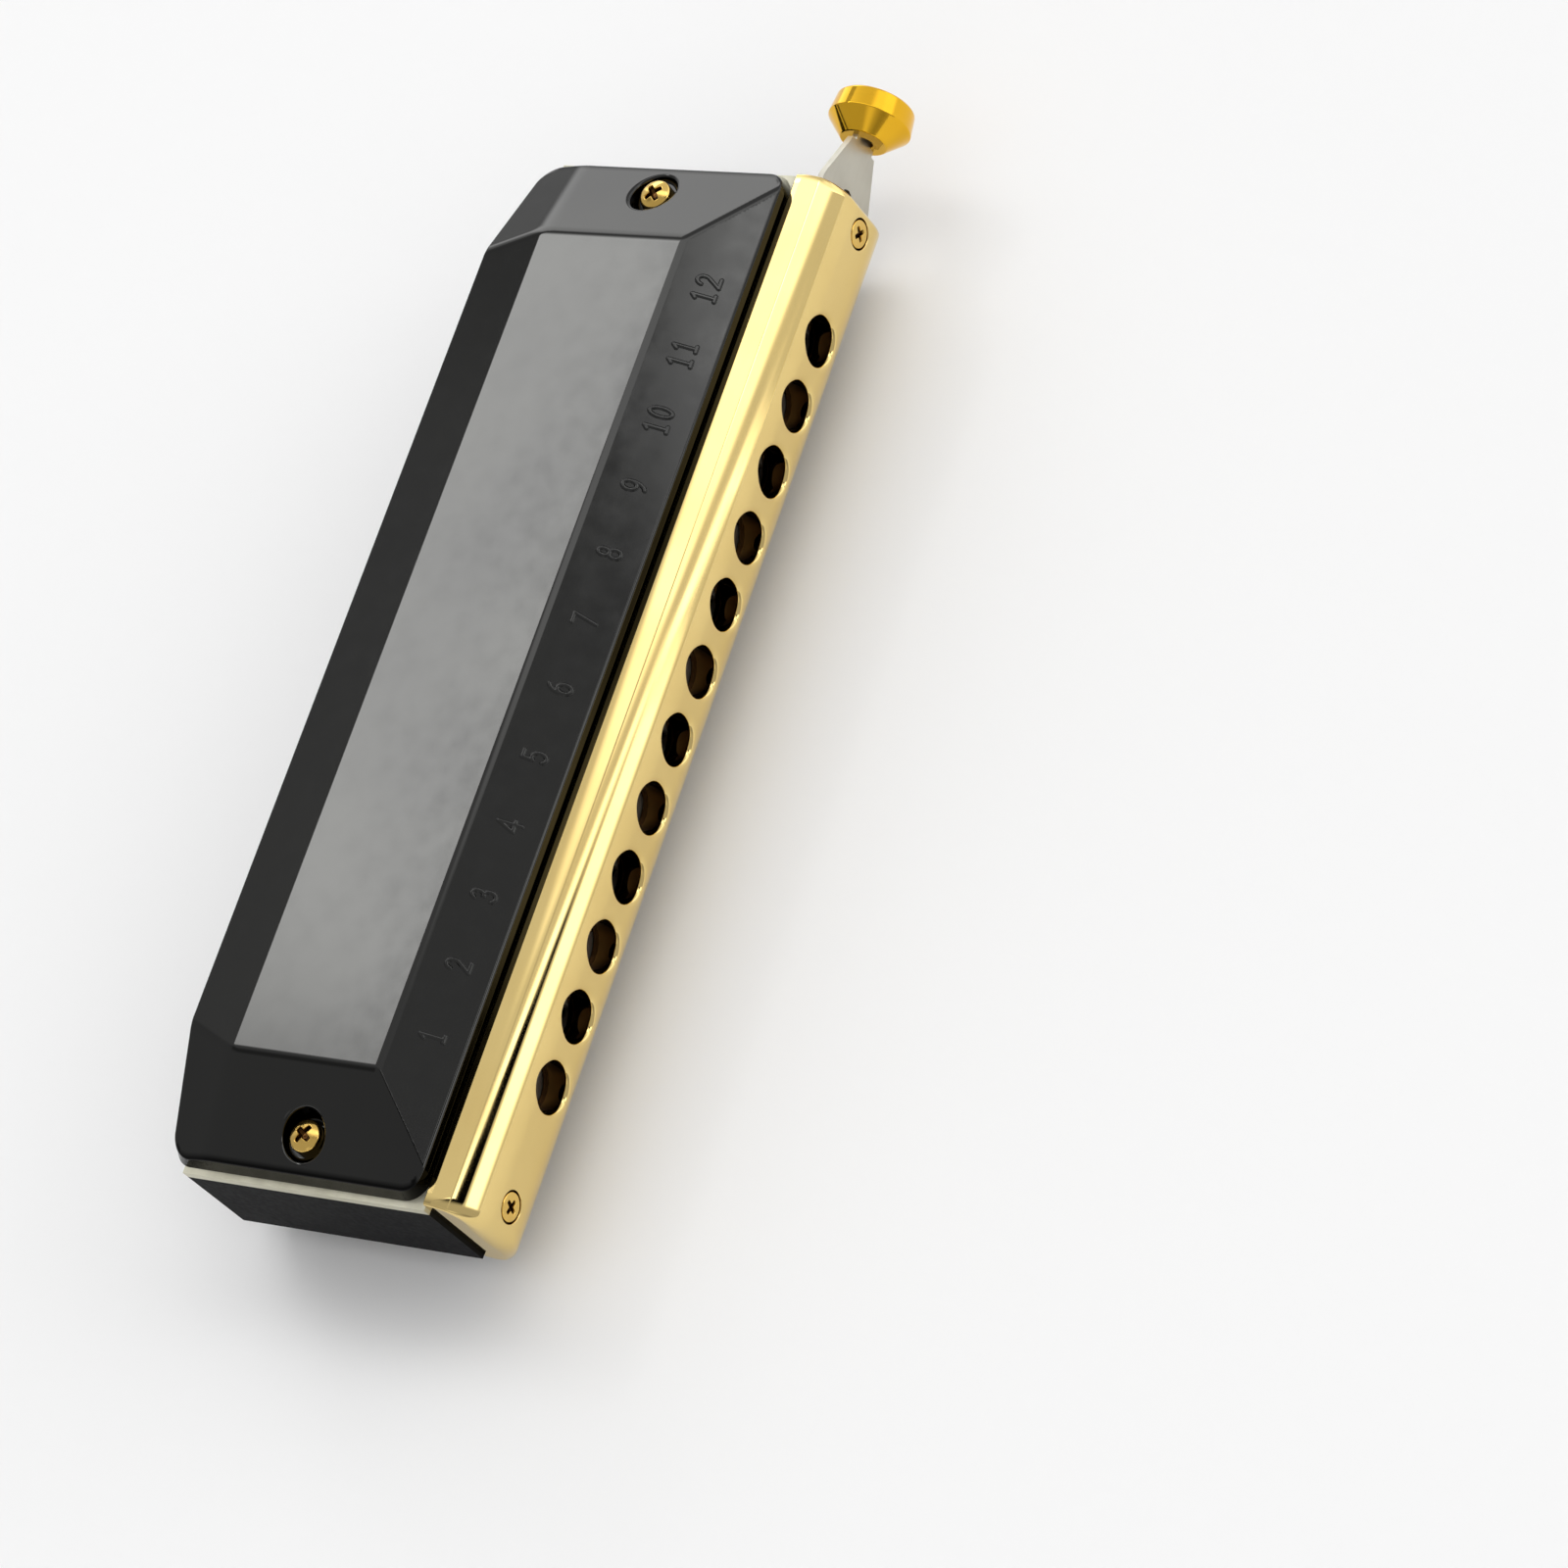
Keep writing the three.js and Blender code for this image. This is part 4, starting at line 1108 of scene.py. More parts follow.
@dataclass
class Mouthpiece:
    """The plated bar that is played: rounded nose, twelve holes, two screw seats and a rear pocket.

    The nose is followed by s, the length along its outline from the middle of the front. Up to
    half - nose_radius it is flat, then comes a quarter circle of nose_radius, then a flat top and a
    small rear rounding, which take up top_run and rear_run of s. An end rolls over by a quarter
    ellipse, which draws the outline in by e. The ellipse is large on the front and small towards the
    rear. The left end slants in towards its rear.
    """

    left: float = -69.6
    right: float = 68.9
    front: float = -6.4
    half: float = 7.8
    nose_radius: float = 5.6
    front_rolls: tuple[float, float] = (2.0, 1.45)
    front_draw: float = 2.8
    rear_roll: float = 0.45
    end_set_in: float = 0.5
    rear_rounding: float = 0.13
    pocket_depth: float = 3.4
    pocket_half: float = 6.75
    pocket_left: float = -62.0
    hole_radius: float = 3.1
    hole_lip: float = 3.72
    lip_depth: float = 0.6
    seat_radius: float = 2.0
    seat_lip: float = 2.12
    seat_edge: float = 0.15
    band: float = 4.3
    band_rows: int = 21
    screw_block: float = 2.2
    top_run: float = 0.2
    rear_run: float = 1.1
    rear_kept: float = 1.05
    easing_reach: tuple[float, float] = (0.9, 1.25)
    roll_lines: int = 15
    lip_lines: int = 8
    plain_gap: float = 1.0
    pocket_gap: float = 1.3
    screw_cells: int = 12
    hole_cells: int = 24
    nose_gap: float = 0.3
    top_gap: float = 0.1
    rear_gap: float = 0.16
    match: float = 1e-4

    def rear_radius(self, e: Array) -> Array:
        """Gives the rear rounding, which all but dies out where the end rolls over."""
        return self.rear_rounding * (self.rear_kept - np.minimum(e / self.rear_roll, 1.0))

    def easing(self, s: Array, front: Array) -> Array:
        """Goes from a front value to the rear roll, smoothly round the quarter circle.

        Args:
            s: Length along the outline of each row.
            front: The value on the front, for each column or for all.

        Returns:
            The value on each row and column.
        """
        flat = self.half - self.nose_radius
        low, high = self.easing_reach
        share = smooth_share(flat * low, flat + self.nose_radius * high, np.abs(s))
        return lerp(front, self.rear_roll, share[:, None])

    def outline(self, s: Array, e: Array) -> tuple[Array, Array, Array]:
        """Follows the nose.

        Args:
            s: Length along the outline, less than 0 on the lower half.
            e: How far the outline is drawn in.

        Returns:
            y and z of the point, and its outward normal in x, y, z.
        """
        s, e = np.broadcast_arrays(np.asarray(s, float), np.asarray(e, float))
        flat = self.half - self.nose_radius
        quarter = self.nose_radius * math.pi / 2
        centre_y = self.front + self.nose_radius
        length = np.abs(s)
        turn = np.clip((length - flat) / self.nose_radius, 0, math.pi / 2)
        radius = self.nose_radius - e
        y = centre_y - radius * np.cos(turn)
        z = np.where(length < flat, length, flat + radius * np.sin(turn))
        normal_y, normal_z = -np.cos(turn), np.sin(turn)
        top = np.clip(length - flat - quarter, 0, self.top_run)
        rear = self.rear_radius(e)
        y = y + top / self.top_run * (-rear - centre_y) * (length > flat + quarter)
        bend = np.clip((length - flat - quarter - self.top_run) / self.rear_run, 0, 1) * math.pi / 2
        bent = bend > 0
        y = np.where(bent, -rear + rear * np.sin(bend), y)
        z = np.where(bent, self.half - e - rear + rear * np.cos(bend), z)
        normal_y = np.where(bent, np.sin(bend), normal_y)
        normal_z = np.where(bent, np.cos(bend), normal_z)
        sign = np.where(s < 0, -1.0, 1.0)
        normal = np.stack([np.zeros_like(y), normal_y, normal_z * sign], axis=-1)
        return y, z * sign, normal

    @property
    def length(self) -> float:
        """Half of the whole outline's s."""
        return self.half - self.nose_radius + self.nose_radius * math.pi / 2 + self.top_run + self.rear_run

    def columns(self) -> Array:
        """Spaces the lines across the bar.

        Returns:
            Three rows: each line's x, its share of the drawing in, and its turn round the end.
        """
        turns = right_angle(self.roll_lines)
        rolled = 1 - np.cos(turns)
        left_roll, right_roll = self.front_rolls
        band_end = LAYOUT.screw_x + self.screw_block
        inner_end = LAYOUT.screw_x - self.screw_block
        holes = LAYOUT.pitch * LAYOUT.holes / 2
        screw = 2 * self.screw_block / self.screw_cells + NUDGE
        hole = LAYOUT.pitch / self.hole_cells + NUDGE
        plain, pocket = self.plain_gap, self.pocket_gap
        inside = steps(
            (self.left + left_roll, plain), (-band_end, screw), (-inner_end, plain),
            (self.pocket_left, pocket), (-holes, hole), (holes, pocket), (inner_end, screw),
            (band_end, plain), (self.right - right_roll, 1),
        )
        left_end = self.left + left_roll * rolled[:-1]
        right_end = self.right - right_roll * rolled[-2::-1]
        x = np.concatenate([left_end, inside, right_end])
        turn = np.concatenate([turns[:-1], np.full(len(inside), math.pi / 2), turns[-2::-1]])
        return np.stack([x, 1 - np.sin(turn), turn])

    def nose(self, s: Array, columns: Array) -> tuple[Array, Array]:
        """Works out the nose's surface.

        A rolled column is drawn in by the ellipse's depth times 1 - sin(turn). Its normal is the
        outline's times roll sin(turn), with depth cos(turn) added along x.

        Args:
            s: Length along the outline of each row.
            columns: What columns() gives, or some of its columns.

        Returns:
            The points and their unit normals.
        """
        x, share, turn = columns
        draw = self.easing(s, self.front_draw)
        y, z, normal = self.outline(s[:, None], share[None, :] * draw)
        way = np.where(x < 0, -1.0, 1.0)
        roll = self.easing(s, np.where(x < 0, *self.front_rolls))
        normal = normal * (roll * np.sin(turn))[..., None]
        normal[..., 0] += np.cos(turn) * way * draw
        return np.stack([self.slanted(self.lines(s, columns), y), y, z], axis=-1), unit(normal)

    def slanted(self, x: Array, y: Array) -> Array:
        """Sets the left end in: in full at the rear, none at the front or from the screw's seat on."""
        seat = -LAYOUT.screw_x - self.screw_block
        past = np.clip((seat - x) / (seat - self.left), 0.0, 1.0)
        return x + self.end_set_in * past * (y - self.front) / -self.front

    def lines(self, s: Array, columns: Array) -> Array:
        """Gives x on rows of s: a rolled column stands in from its end by roll times (1 - cos turn).

        Args:
            s: Length along the outline of each row.
            columns: What columns() gives, or some of its columns.

        Returns:
            The x of each row and column, before the left end's slant.
        """
        x, _, turn = columns
        roll = self.easing(s, np.where(x < 0, *self.front_rolls))
        left = self.left + roll * (1 - np.cos(turn))
        right = self.right - roll * (1 - np.cos(turn))
        rolled = np.where(x < 0, left, right)
        return np.where(turn > math.pi / 2 - ROUNDING, x, rolled)

    def outline_of(self, block: tuple[float, float], x: Array, rows: Array) -> tuple[Array, Array]:
        """Gives the grid points round a block, in order and closed.

        Args:
            block: The block's lowest and highest x.
            x: All of the grid's x lines.
            rows: The grid's rows.

        Returns:
            The x and the s of the points.
        """
        lines = x[(x > block[0] - self.match) & (x < block[1] + self.match)]
        loop = border(np.stack(np.meshgrid(lines, rows), axis=-1))
        return loop[:, 0], loop[:, 1]

    def opening(self, skin: Skin, block: tuple[float, float], x: Array, rows: Array, hole: bool) -> None:
        """Adds a breath hole through to the pocket, or a blind screw seat.

        Rings go straight from the block's outline to the lip's circle on the nose. The lip is a quarter
        ellipse down to the bore, and the bore runs straight back along y.

        Args:
            skin: The mouthpiece's surface.
            block: The lowest and highest x of the part of the front that it takes up.
            x: All of the grid's x lines.
            rows: The front's rows.
            hole: True for a breath hole.
        """
        a, s = self.outline_of(block, x, rows)
        centre = (block[0] + block[1]) / 2
        angle = np.arctan2(s, a - centre)
        lip, bore = (self.hole_lip, self.hole_radius) if hole else (self.seat_lip, self.seat_radius)
        share = np.linspace(0, 1, RINGS)[:, None]
        ring_x = lerp(a, centre + lip * np.cos(angle), share)
        ring_s = lerp(s, lip * np.sin(angle), share)
        y, z, normal = self.outline(ring_s, 0.0)
        skin.sheet(np.stack([ring_x, y, z], axis=-1), normal, ring=True)
        edge = np.stack([ring_x[-1], y[-1], z[-1]], axis=-1)
        depth = self.lip_depth if hole else self.seat_edge
        turns = right_angle(self.lip_lines)[:, None, None]
        inner = np.stack([centre + bore * np.cos(angle), edge[:, 1] + depth, bore * np.sin(angle)], axis=-1)
        way_in = np.concatenate([np.sin(turns), 1 - np.cos(turns), np.sin(turns)], axis=-1)
        skin.sheet(edge + (inner - edge) * way_in, ring=True)
        floor_y = -self.pocket_depth if hole else self.front + LAYOUT.seat_depth
        down = np.linspace(0, 1, WALL_ROWS)[:, None, None]
        wall = inner + down * (floor_y - inner[:, 1])[None, :, None] * (0, 1, 0)
        radial = np.stack([np.cos(angle), np.zeros_like(angle), np.sin(angle)], axis=-1)
        # The bore's wall and its back below are painted in full shade
        skin.sheet(wall, np.broadcast_to(radial, wall.shape), inside=1.0)
        if hole:
            depths = np.full((RINGS, len(a)), floor_y)
            across, upward = lerp(a, wall[-1, :, 0], share), lerp(s, wall[-1, :, 2], share)
            back = np.stack([across, depths, upward], axis=-1)
        else:
            back = np.array([wall[-1], np.broadcast_to([centre, floor_y, 0.0], wall[-1].shape)])
        skin.sheet(back, np.array([0.0, 1.0, 0.0]), inside=1.0)

    def build(self, dresser: Dresser) -> None:
        """Makes the mouthpiece: the nose, its openings, and what _rear() adds.

        Args:
            dresser: Gives the finishes.
        """
        skin = Skin("mouthpiece_plated")
        columns = self.columns()
        x = columns[0]
        rows = np.linspace(-self.band, self.band, self.band_rows)
        flat = self.half - self.nose_radius
        quarter = flat + self.nose_radius * math.pi / 2
        strip = steps(
            (self.band, self.nose_gap), (quarter, self.top_gap), (quarter + self.top_run, self.rear_gap),
            (self.length, 1),
        )
        for sign in (-1, 1):
            skin.sheet(*self.nose(strip * sign, columns))
        centres = [(c, LAYOUT.pitch / 2, True) for c in LAYOUT.hole_places()]
        centres += [(side * LAYOUT.screw_x, self.screw_block, False) for side in (-1, 1)]
        plain = np.ones(len(x) - 1, bool)
        middle = (x[:-1] + x[1:]) / 2
        holed = np.zeros(len(x) - 1, bool)
        for centre, half, hole in centres:
            self.opening(skin, (centre - half, centre + half), x, rows, hole)
            plain &= np.abs(middle - centre) > half
            holed |= (np.abs(middle - centre) < half) & hole
        points, normals = self.nose(rows, columns)
        skin.sheet(points, normals, np.broadcast_to(plain, (len(rows) - 1, len(plain))))
        self._rear(skin, columns, rows, holed, strip)
        dresser.settle(skin, GOLD_PLATE, Body.FIXED, "mouthpiece")

    def _rear(self, skin: Skin, columns: Array, rows: Array, holed: Array, strip: Array) -> None:
        """Adds the rear face, the pocket with its end wall, and both end caps, all of them flat.

        Args:
            skin: The mouthpiece's surface.
            columns: What columns() gives.
            rows: The front's rows, which the pocket's floor has too.
            holed: Which cells across the bar lie behind a breath hole.
            strip: Length along the outline of the rows past the front.
        """
        x, e = self.lines(np.array([self.length]), columns)[0], columns[1] * self.rear_roll
        x = self.slanted(x, 0.0)
        edge = self.half - e - self.rear_radius(e)
        pocket = np.concatenate([[-self.pocket_half], rows, [self.pocket_half]])
        solid = x <= self.pocket_left + NUDGE
        back = (0.0, 1.0, 0.0)
        z = np.concatenate([-edge[None], np.repeat(pocket[:, None], len(x), axis=1), edge[None]])
        rear = np.stack([np.broadcast_to(x, z.shape), np.zeros_like(z), z], axis=-1)
        skin.sheet(rear[:, solid], np.array(back))
        past = ~solid
        past[np.flatnonzero(solid)[-1]] = True
        for pair in (slice(0, 2), slice(-2, None)):
            skin.sheet(rear[pair][:, past], np.array(back))
        floor = rear[1:-1][:, past] + (0.0, -self.pocket_depth, 0.0)
        keep = np.ones((len(pocket) - 1, past.sum() - 1), bool)
        keep[1:-1] &= ~holed[np.flatnonzero(past)[0] :][None, :]
        # The pocket's floor is painted in full shade
        skin.sheet(floor, np.array(back), keep, inside=1.0)
        for side, way in ((0, 1.0), (-1, -1.0)):
            skin.sheet(np.array([floor[side], rear[1:-1][side][past]]), np.array([0.0, 0.0, way]))
        wall = np.array([floor[:, 0], rear[1:-1][:, past][:, 0]])
        skin.sheet(wall, np.array([1.0, 0.0, 0.0]))
        s = np.concatenate([-strip[:0:-1], rows, strip[1:]])
        ends, _ = self.nose(s, columns[:, [0, -1]])
        left = np.concatenate([ends[:, 0], rear[-2:0:-1, 0]])
        lean = math.atan(self.end_set_in / -self.front)
        skin.cap(left, (-math.cos(lean), math.sin(lean), 0.0))
        right = np.concatenate([ends[:, 1], rear[-2:-1, -1], floor[::-1, -1], rear[1:2, -1]])
        skin.cap(right, (1.0, 0.0, 0.0))


# Turned pieces and fasteners


def rounded(corners: list[tuple[float, float, float]], count: int = 5) -> Array:
    """Rounds the corners of a broken line.

    Args:
        corners: Distance along the axis, radius, and the length cut from each side of the corner.
        count: Points on each rounding.

    Returns:
        Points of a quadratic curve at each corner, joined by straight runs.
    """
    points = np.array(corners, float)
    made = [points[0, :2]]
    for before, here, after in zip(points[:-2], points[1:-1], points[2:]):
        cut = here[2]
        start = here[:2] + unit(before[:2] - here[:2]) * cut
        end = here[:2] + unit(after[:2] - here[:2]) * cut
        t = np.linspace(0, 1, count)[:, None]
        curve = (1 - t) ** 2 * start + 2 * t * (1 - t) * here[:2] + t * t * end
        made.extend(curve if cut > 0 else [here[:2]])
    made.append(points[-1, :2])
    return np.array(made)


@dataclass
class SlideButton:
    """The turned button on the slide's tongue: a flared neck with a bore, a broad ring and a flat face."""

    start: float = 78.1
    length: float = 5.4
    neck: float = 3.0
    bore: float = 1.25
    bore_depth: float = 2.3
    crown: tuple[float, float] = (2.5, 5.35)
    face: float = 5.05
    edge: float = 0.25
    bore_round: float = 0.15
    round_off: float = 0.12
    round_points: int = 7
    around: int = 144

    def build(self, dresser: Dresser) -> None:
        """Makes the button by turning its outline round the slide's middle line.

        Args:
            dresser: Gives the finishes.
        """
        soft = self.round_off
        outline = rounded(
            [
                (self.bore_depth, 0.0, 0), (self.bore_depth, self.bore, self.bore_round),
                (0.0, self.bore, soft), (0.0, self.neck, soft), (*self.crown, soft),
                (self.length - self.edge, self.face, soft), (self.length, self.face - self.edge, soft),
                (self.length, 0.0, 0),
            ],
            self.round_points,
        )
        turn = np.linspace(0, 2 * math.pi, self.around + 1)
        along_x = revolved(outline[:, 1:], outline[:, :1], turn)[..., [2, 0, 1]]
        points = along_x + (self.start, LAYOUT.slide_middle, 0.0)
        skin = Skin("slide_button_turned")
        skin.sheet(points, ring=True)
        dresser.settle(skin, BUTTON_GOLD, Body.SLIDING, "slide_button")


@dataclass
class SlideSpring:
    """The hairpin of round wire that returns the slide.

    Its long leg stands at the slide's notch, and its bend and second leg stay in the comb; it is
    made in one pose.
    """

    wire: float = 0.4
    cut: float = 0.1
    tip: float = 2.3
    bend_radius: float = 1.3
    bend_depth: float = 7.2
    bend_turn: float = math.radians(150)
    leg_depth: float = 1.0
    leg_points: int = 61
    bend_points: int = 49
    brace_points: int = 31
    around: int = 24

    def path(self, notch: float) -> Array:
        """Draws the wire's middle line from the notch, round the pin, to the comb's wall.

        Args:
            notch: The x of the slide's notch, where the long leg stands.

        Returns:
            The x and y of the line's points: a straight leg, an arc, and a straight second leg.
        """
        turn = np.linspace(0, self.bend_turn, self.bend_points)
        centre = np.array([notch - self.bend_radius, self.bend_depth])
        bend = centre + self.bend_radius * np.stack([np.cos(turn), np.sin(turn)], axis=-1)
        depths = np.linspace(-self.tip, self.bend_depth, self.leg_points)[:-1]
        leg = np.stack([np.full_like(depths, notch), depths], axis=-1)
        depths = np.linspace(bend[-1, 1], self.leg_depth, self.brace_points)[1:]
        brace = np.stack([bend[-1, 0] + (bend[-1, 1] - depths) * math.tan(self.bend_turn), depths], axis=-1)
        return np.concatenate([leg, bend, brace])

    def build(self, dresser: Dresser) -> None:
        """Sweeps a circle along the path: each point is p + r (n cos a + z sin a), n across the path.

        Args:
            dresser: Gives the finishes.
        """
        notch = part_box("slide_spring")[1][0] / MM - self.wire
        path = self.path(notch)
        along = unit(np.gradient(path, axis=0))
        ends = path[[0, 0, -1, -1]] + along[[0, 0, -1, -1]] * np.array([[0], [self.cut], [-self.cut], [0]])
        path = np.concatenate([ends[:2], path[1:-1], ends[2:]])
        path = np.concatenate([path[:1], path, path[-1:]])
        along = np.concatenate([along[[0, 0]], along, along[[-1, -1]]])
        radius = np.full(len(path), self.wire)
        radius[[0, -1]], radius[[1, -2]] = 0.0, self.wire - self.cut
        turn = np.linspace(0, 2 * math.pi, self.around + 1)
        across = radius[:, None] * np.cos(turn)
        points = np.stack(
            [
                path[:, :1] + along[:, 1:] * across, path[:, 1:] - along[:, :1] * across,
                radius[:, None] * np.sin(turn),
            ],
            axis=-1,
        )
        points[:, -1] = points[:, 0]
        skin = Skin("slide_spring_wound")
        skin.sheet(points, ring=True)
        made = dresser.finished(skin, SPRING_STEEL, "slide_spring")
        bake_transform(made)


@dataclass(frozen=True)
class ScrewShape:
    """Sizes of a cross-headed screw, in millimetres from the underside of its head."""

    head_radius: float
    crown: float
    shank_radius: float
    shank: float
    cross_length: float = 2.3
    cross_width: float = 0.55
    cross_depth: float = 0.75
    chamfer: float = 0.1
    point: float = 0.3


@dataclass
class Fasteners:
    """Cross-headed screws and bolts, and the six-sided nuts."""

    cells: int = 72
    mouth: ScrewShape = ScrewShape(1.8, 0.0, 1.2, 11.0, 1.9, 0.45, 0.6)
    bolt: ScrewShape = ScrewShape(2.1, 0.6, 1.2, 16.9)
    nut_radius: float = 2.4
    nut_height: float = 1.5
    nut_bore: float = 1.5
    nut_around: int = 96
    nut_mouth: float = 0.2
    nut_fall: float = 0.58
    nut_shares: tuple[float, float] = (0.97, 0.99)
    nut_step: float = 0.05
    rim_start: float = 0.86
    rim_drop: float = 0.25
    arm_taper: float = 0.25
    arm_side: float = 0.07
    arm_end: float = 0.12
    cross_floor: tuple[float, float] = (0.7, 0.3)
    cross_reach: tuple[float, float] = (1.2, 0.2)
    cross_shade: tuple[float, float] = (0.1, 0.6)
    screw_turns: tuple[float, float] = (1.2, 0.9)
    bolt_turn: float = -0.2
    bolt_top: float = 2.75

    def head(self, shape: ScrewShape, top: float) -> tuple[Array, Array]:
        """Draws a head from above on a square grid pressed into a disc.

        A square's u, v go to u sqrt(1 - v^2/2), v sqrt(1 - u^2/2). The crown falls as the square of
        the radius, its edge rolls over by a quarter ellipse, and the cross sinks with soft sides.

        Args:
            shape: The screw's sizes.
            top: Height of the head's middle over its underside.

        Returns:
            Grid of points with z upwards, the cross's arms along x and y, and the share of painted shade
            at each point, from 0 to 1, highest deep in the cross.
        """
        u, v = np.meshgrid(*[np.linspace(-1, 1, self.cells + 1)] * 2)
        a, b = u * np.sqrt(1 - v * v / 2), v * np.sqrt(1 - u * u / 2)
        share = np.minimum(np.hypot(a, b), 1.0)
        rolled = np.clip((share - self.rim_start) / (1 - self.rim_start), 0, 1)
        z = top - shape.crown * share**2 - self.rim_drop * (1 - np.sqrt(np.maximum(1 - rolled**2, 0)))
        a, b = a * shape.head_radius, b * shape.head_radius
        half, wide = shape.cross_length / 2, shape.cross_width / 2

        def arm(along: Array, across: Array) -> Array:
            """Is 1 inside an arm of the cross and 0 outside it."""
            taper = wide * (1 + self.arm_taper * (1 - np.abs(along) / half))
            beside = smooth_share(self.arm_side, -self.arm_side, np.abs(across) - taper)
            return beside * smooth_share(self.arm_end, -self.arm_end, np.abs(along) - half)

        cross = np.maximum(arm(a, b), arm(b, a))
        least, more = self.cross_floor
        sunk = cross * shape.cross_depth * (least + more * smooth_share(*self.cross_reach, np.hypot(a, b)))
        return np.stack([a, b, z - sunk], axis=-1), smooth_share(*self.cross_shade, cross)

    def screw(
        self, skin: Skin, shape: ScrewShape, top: float, turn: float, place: Callable[[Array], Array]
    ) -> None:
        """Adds a screw: its head, rim, underside, and a plain shank with a chamfered tip.

        Args:
            skin: The screw's surface.
            shape: Its sizes.
            top: Height of the head's middle over its underside.
            turn: How far the cross is turned, in radians.
            place: Moves the screw from its own axes, head up z, to where it stands.
        """
        head, depth = self.head(shape, top)
        c, s = math.cos(turn), math.sin(turn)
        head = head @ np.array([[c, s, 0], [-s, c, 0], [0, 0, 1]])
        # depth is the share of painted shade in the cross
        skin.sheet(place(head), inside=depth)
        loop = border(head)
        level = loop[:, :2] / shape.head_radius
        rows = [loop]
        wide, thin, low = shape.head_radius, shape.shank_radius, -shape.shank
        for radius, z in (
            (wide, shape.chamfer), (wide - shape.chamfer, 0.0), (thin, 0.0),
            (thin, low + shape.point), (thin - shape.point, low), (0.0, low),
        ):
            rows.append(np.concatenate([level * radius, np.full((len(loop), 1), z)], axis=1))
        for upper, lower in zip(rows[:-1], rows[1:]):
            skin.sheet(place(np.array([upper, lower])), ring=True)

    def nut(self, skin: Skin, x: float) -> None:
        """Adds a six-sided nut under the lower cover: bore, chamfered face, six sides.

        The side's distance from the axis at an angle is the flat's over the cosine of the angle from
        the flat's middle.

        Args:
            skin: The nut's surface.
            x: Where its axis stands.
        """
        turn = np.linspace(0, 2 * math.pi, self.nut_around + 1)
        flat = self.nut_radius * math.cos(math.pi / 6)
        reach = flat / np.cos((turn % (math.pi / 3)) - math.pi / 6)
        seat = -(LAYOUT.stack_half + LAYOUT.sheet)
        face = seat - self.nut_height
        bore, mouth = self.nut_bore, self.nut_mouth
        face_share, fall_share = self.nut_shares
        falls = self.nut_fall * np.maximum(reach - flat * fall_share, 0)
        rings = [
            (bore, seat), (bore, face + mouth), (bore + mouth, face), (flat * face_share, face),
            (reach, face + self.nut_step + falls), (reach, seat), (bore, seat),
        ]
        radius = np.array([np.broadcast_to(r, turn.shape) for r, _ in rings])
        height = np.array([np.broadcast_to(h, turn.shape) for _, h in rings])
        points = revolved(radius, height, turn) + (x, LAYOUT.bolt_y, 0.0)
        for upper, lower in zip(points[:-1], points[1:]):
            skin.sheet(np.array([upper, lower]), ring=True)

    def build(self, dresser: Dresser) -> None:
        """Makes the two mouthpiece screws, the two cover bolts and their nuts.

        Args:
            dresser: Gives the finishes.
        """
        for side, name, turn in zip((-1, 1), ("left", "right"), self.screw_turns):
            x = side * LAYOUT.screw_x

            def forwards(points: Array) -> Array:
                """Sets a screw in the mouthpiece's front, its head looking along -y."""
                seat = LAYOUT.mouth_front + LAYOUT.seat_depth
                return np.stack([x + points[..., 0], seat - points[..., 2], points[..., 1]], axis=-1)

            skin = Skin(f"mouthpiece_screw_{name}_cross")
            self.screw(skin, self.mouth, LAYOUT.seat_depth, turn, forwards)
            dresser.settle(skin, SCREW_GOLD, Body.FIXED, f"mouthpiece_screw_{name}")
            bolt_x = side * LAYOUT.bolt_x

            def upwards(points: Array) -> Array:
                """Sets a bolt in the cup of the upper cover, its head upwards."""
                return points + np.array([bolt_x, LAYOUT.bolt_y, LAYOUT.stack_half + LAYOUT.sheet])

            skin = Skin(f"cover_bolt_{name}_cross")
            self.screw(skin, self.bolt, self.bolt_top, turn + self.bolt_turn, upwards)
            dresser.settle(skin, SCREW_GOLD, Body.FIXED, f"cover_bolt_{name}")
            skin = Skin(f"cover_nut_{name}_six_sided")
            self.nut(skin, bolt_x)
            dresser.settle(skin, SCREW_GOLD, Body.FIXED, f"cover_nut_{name}")


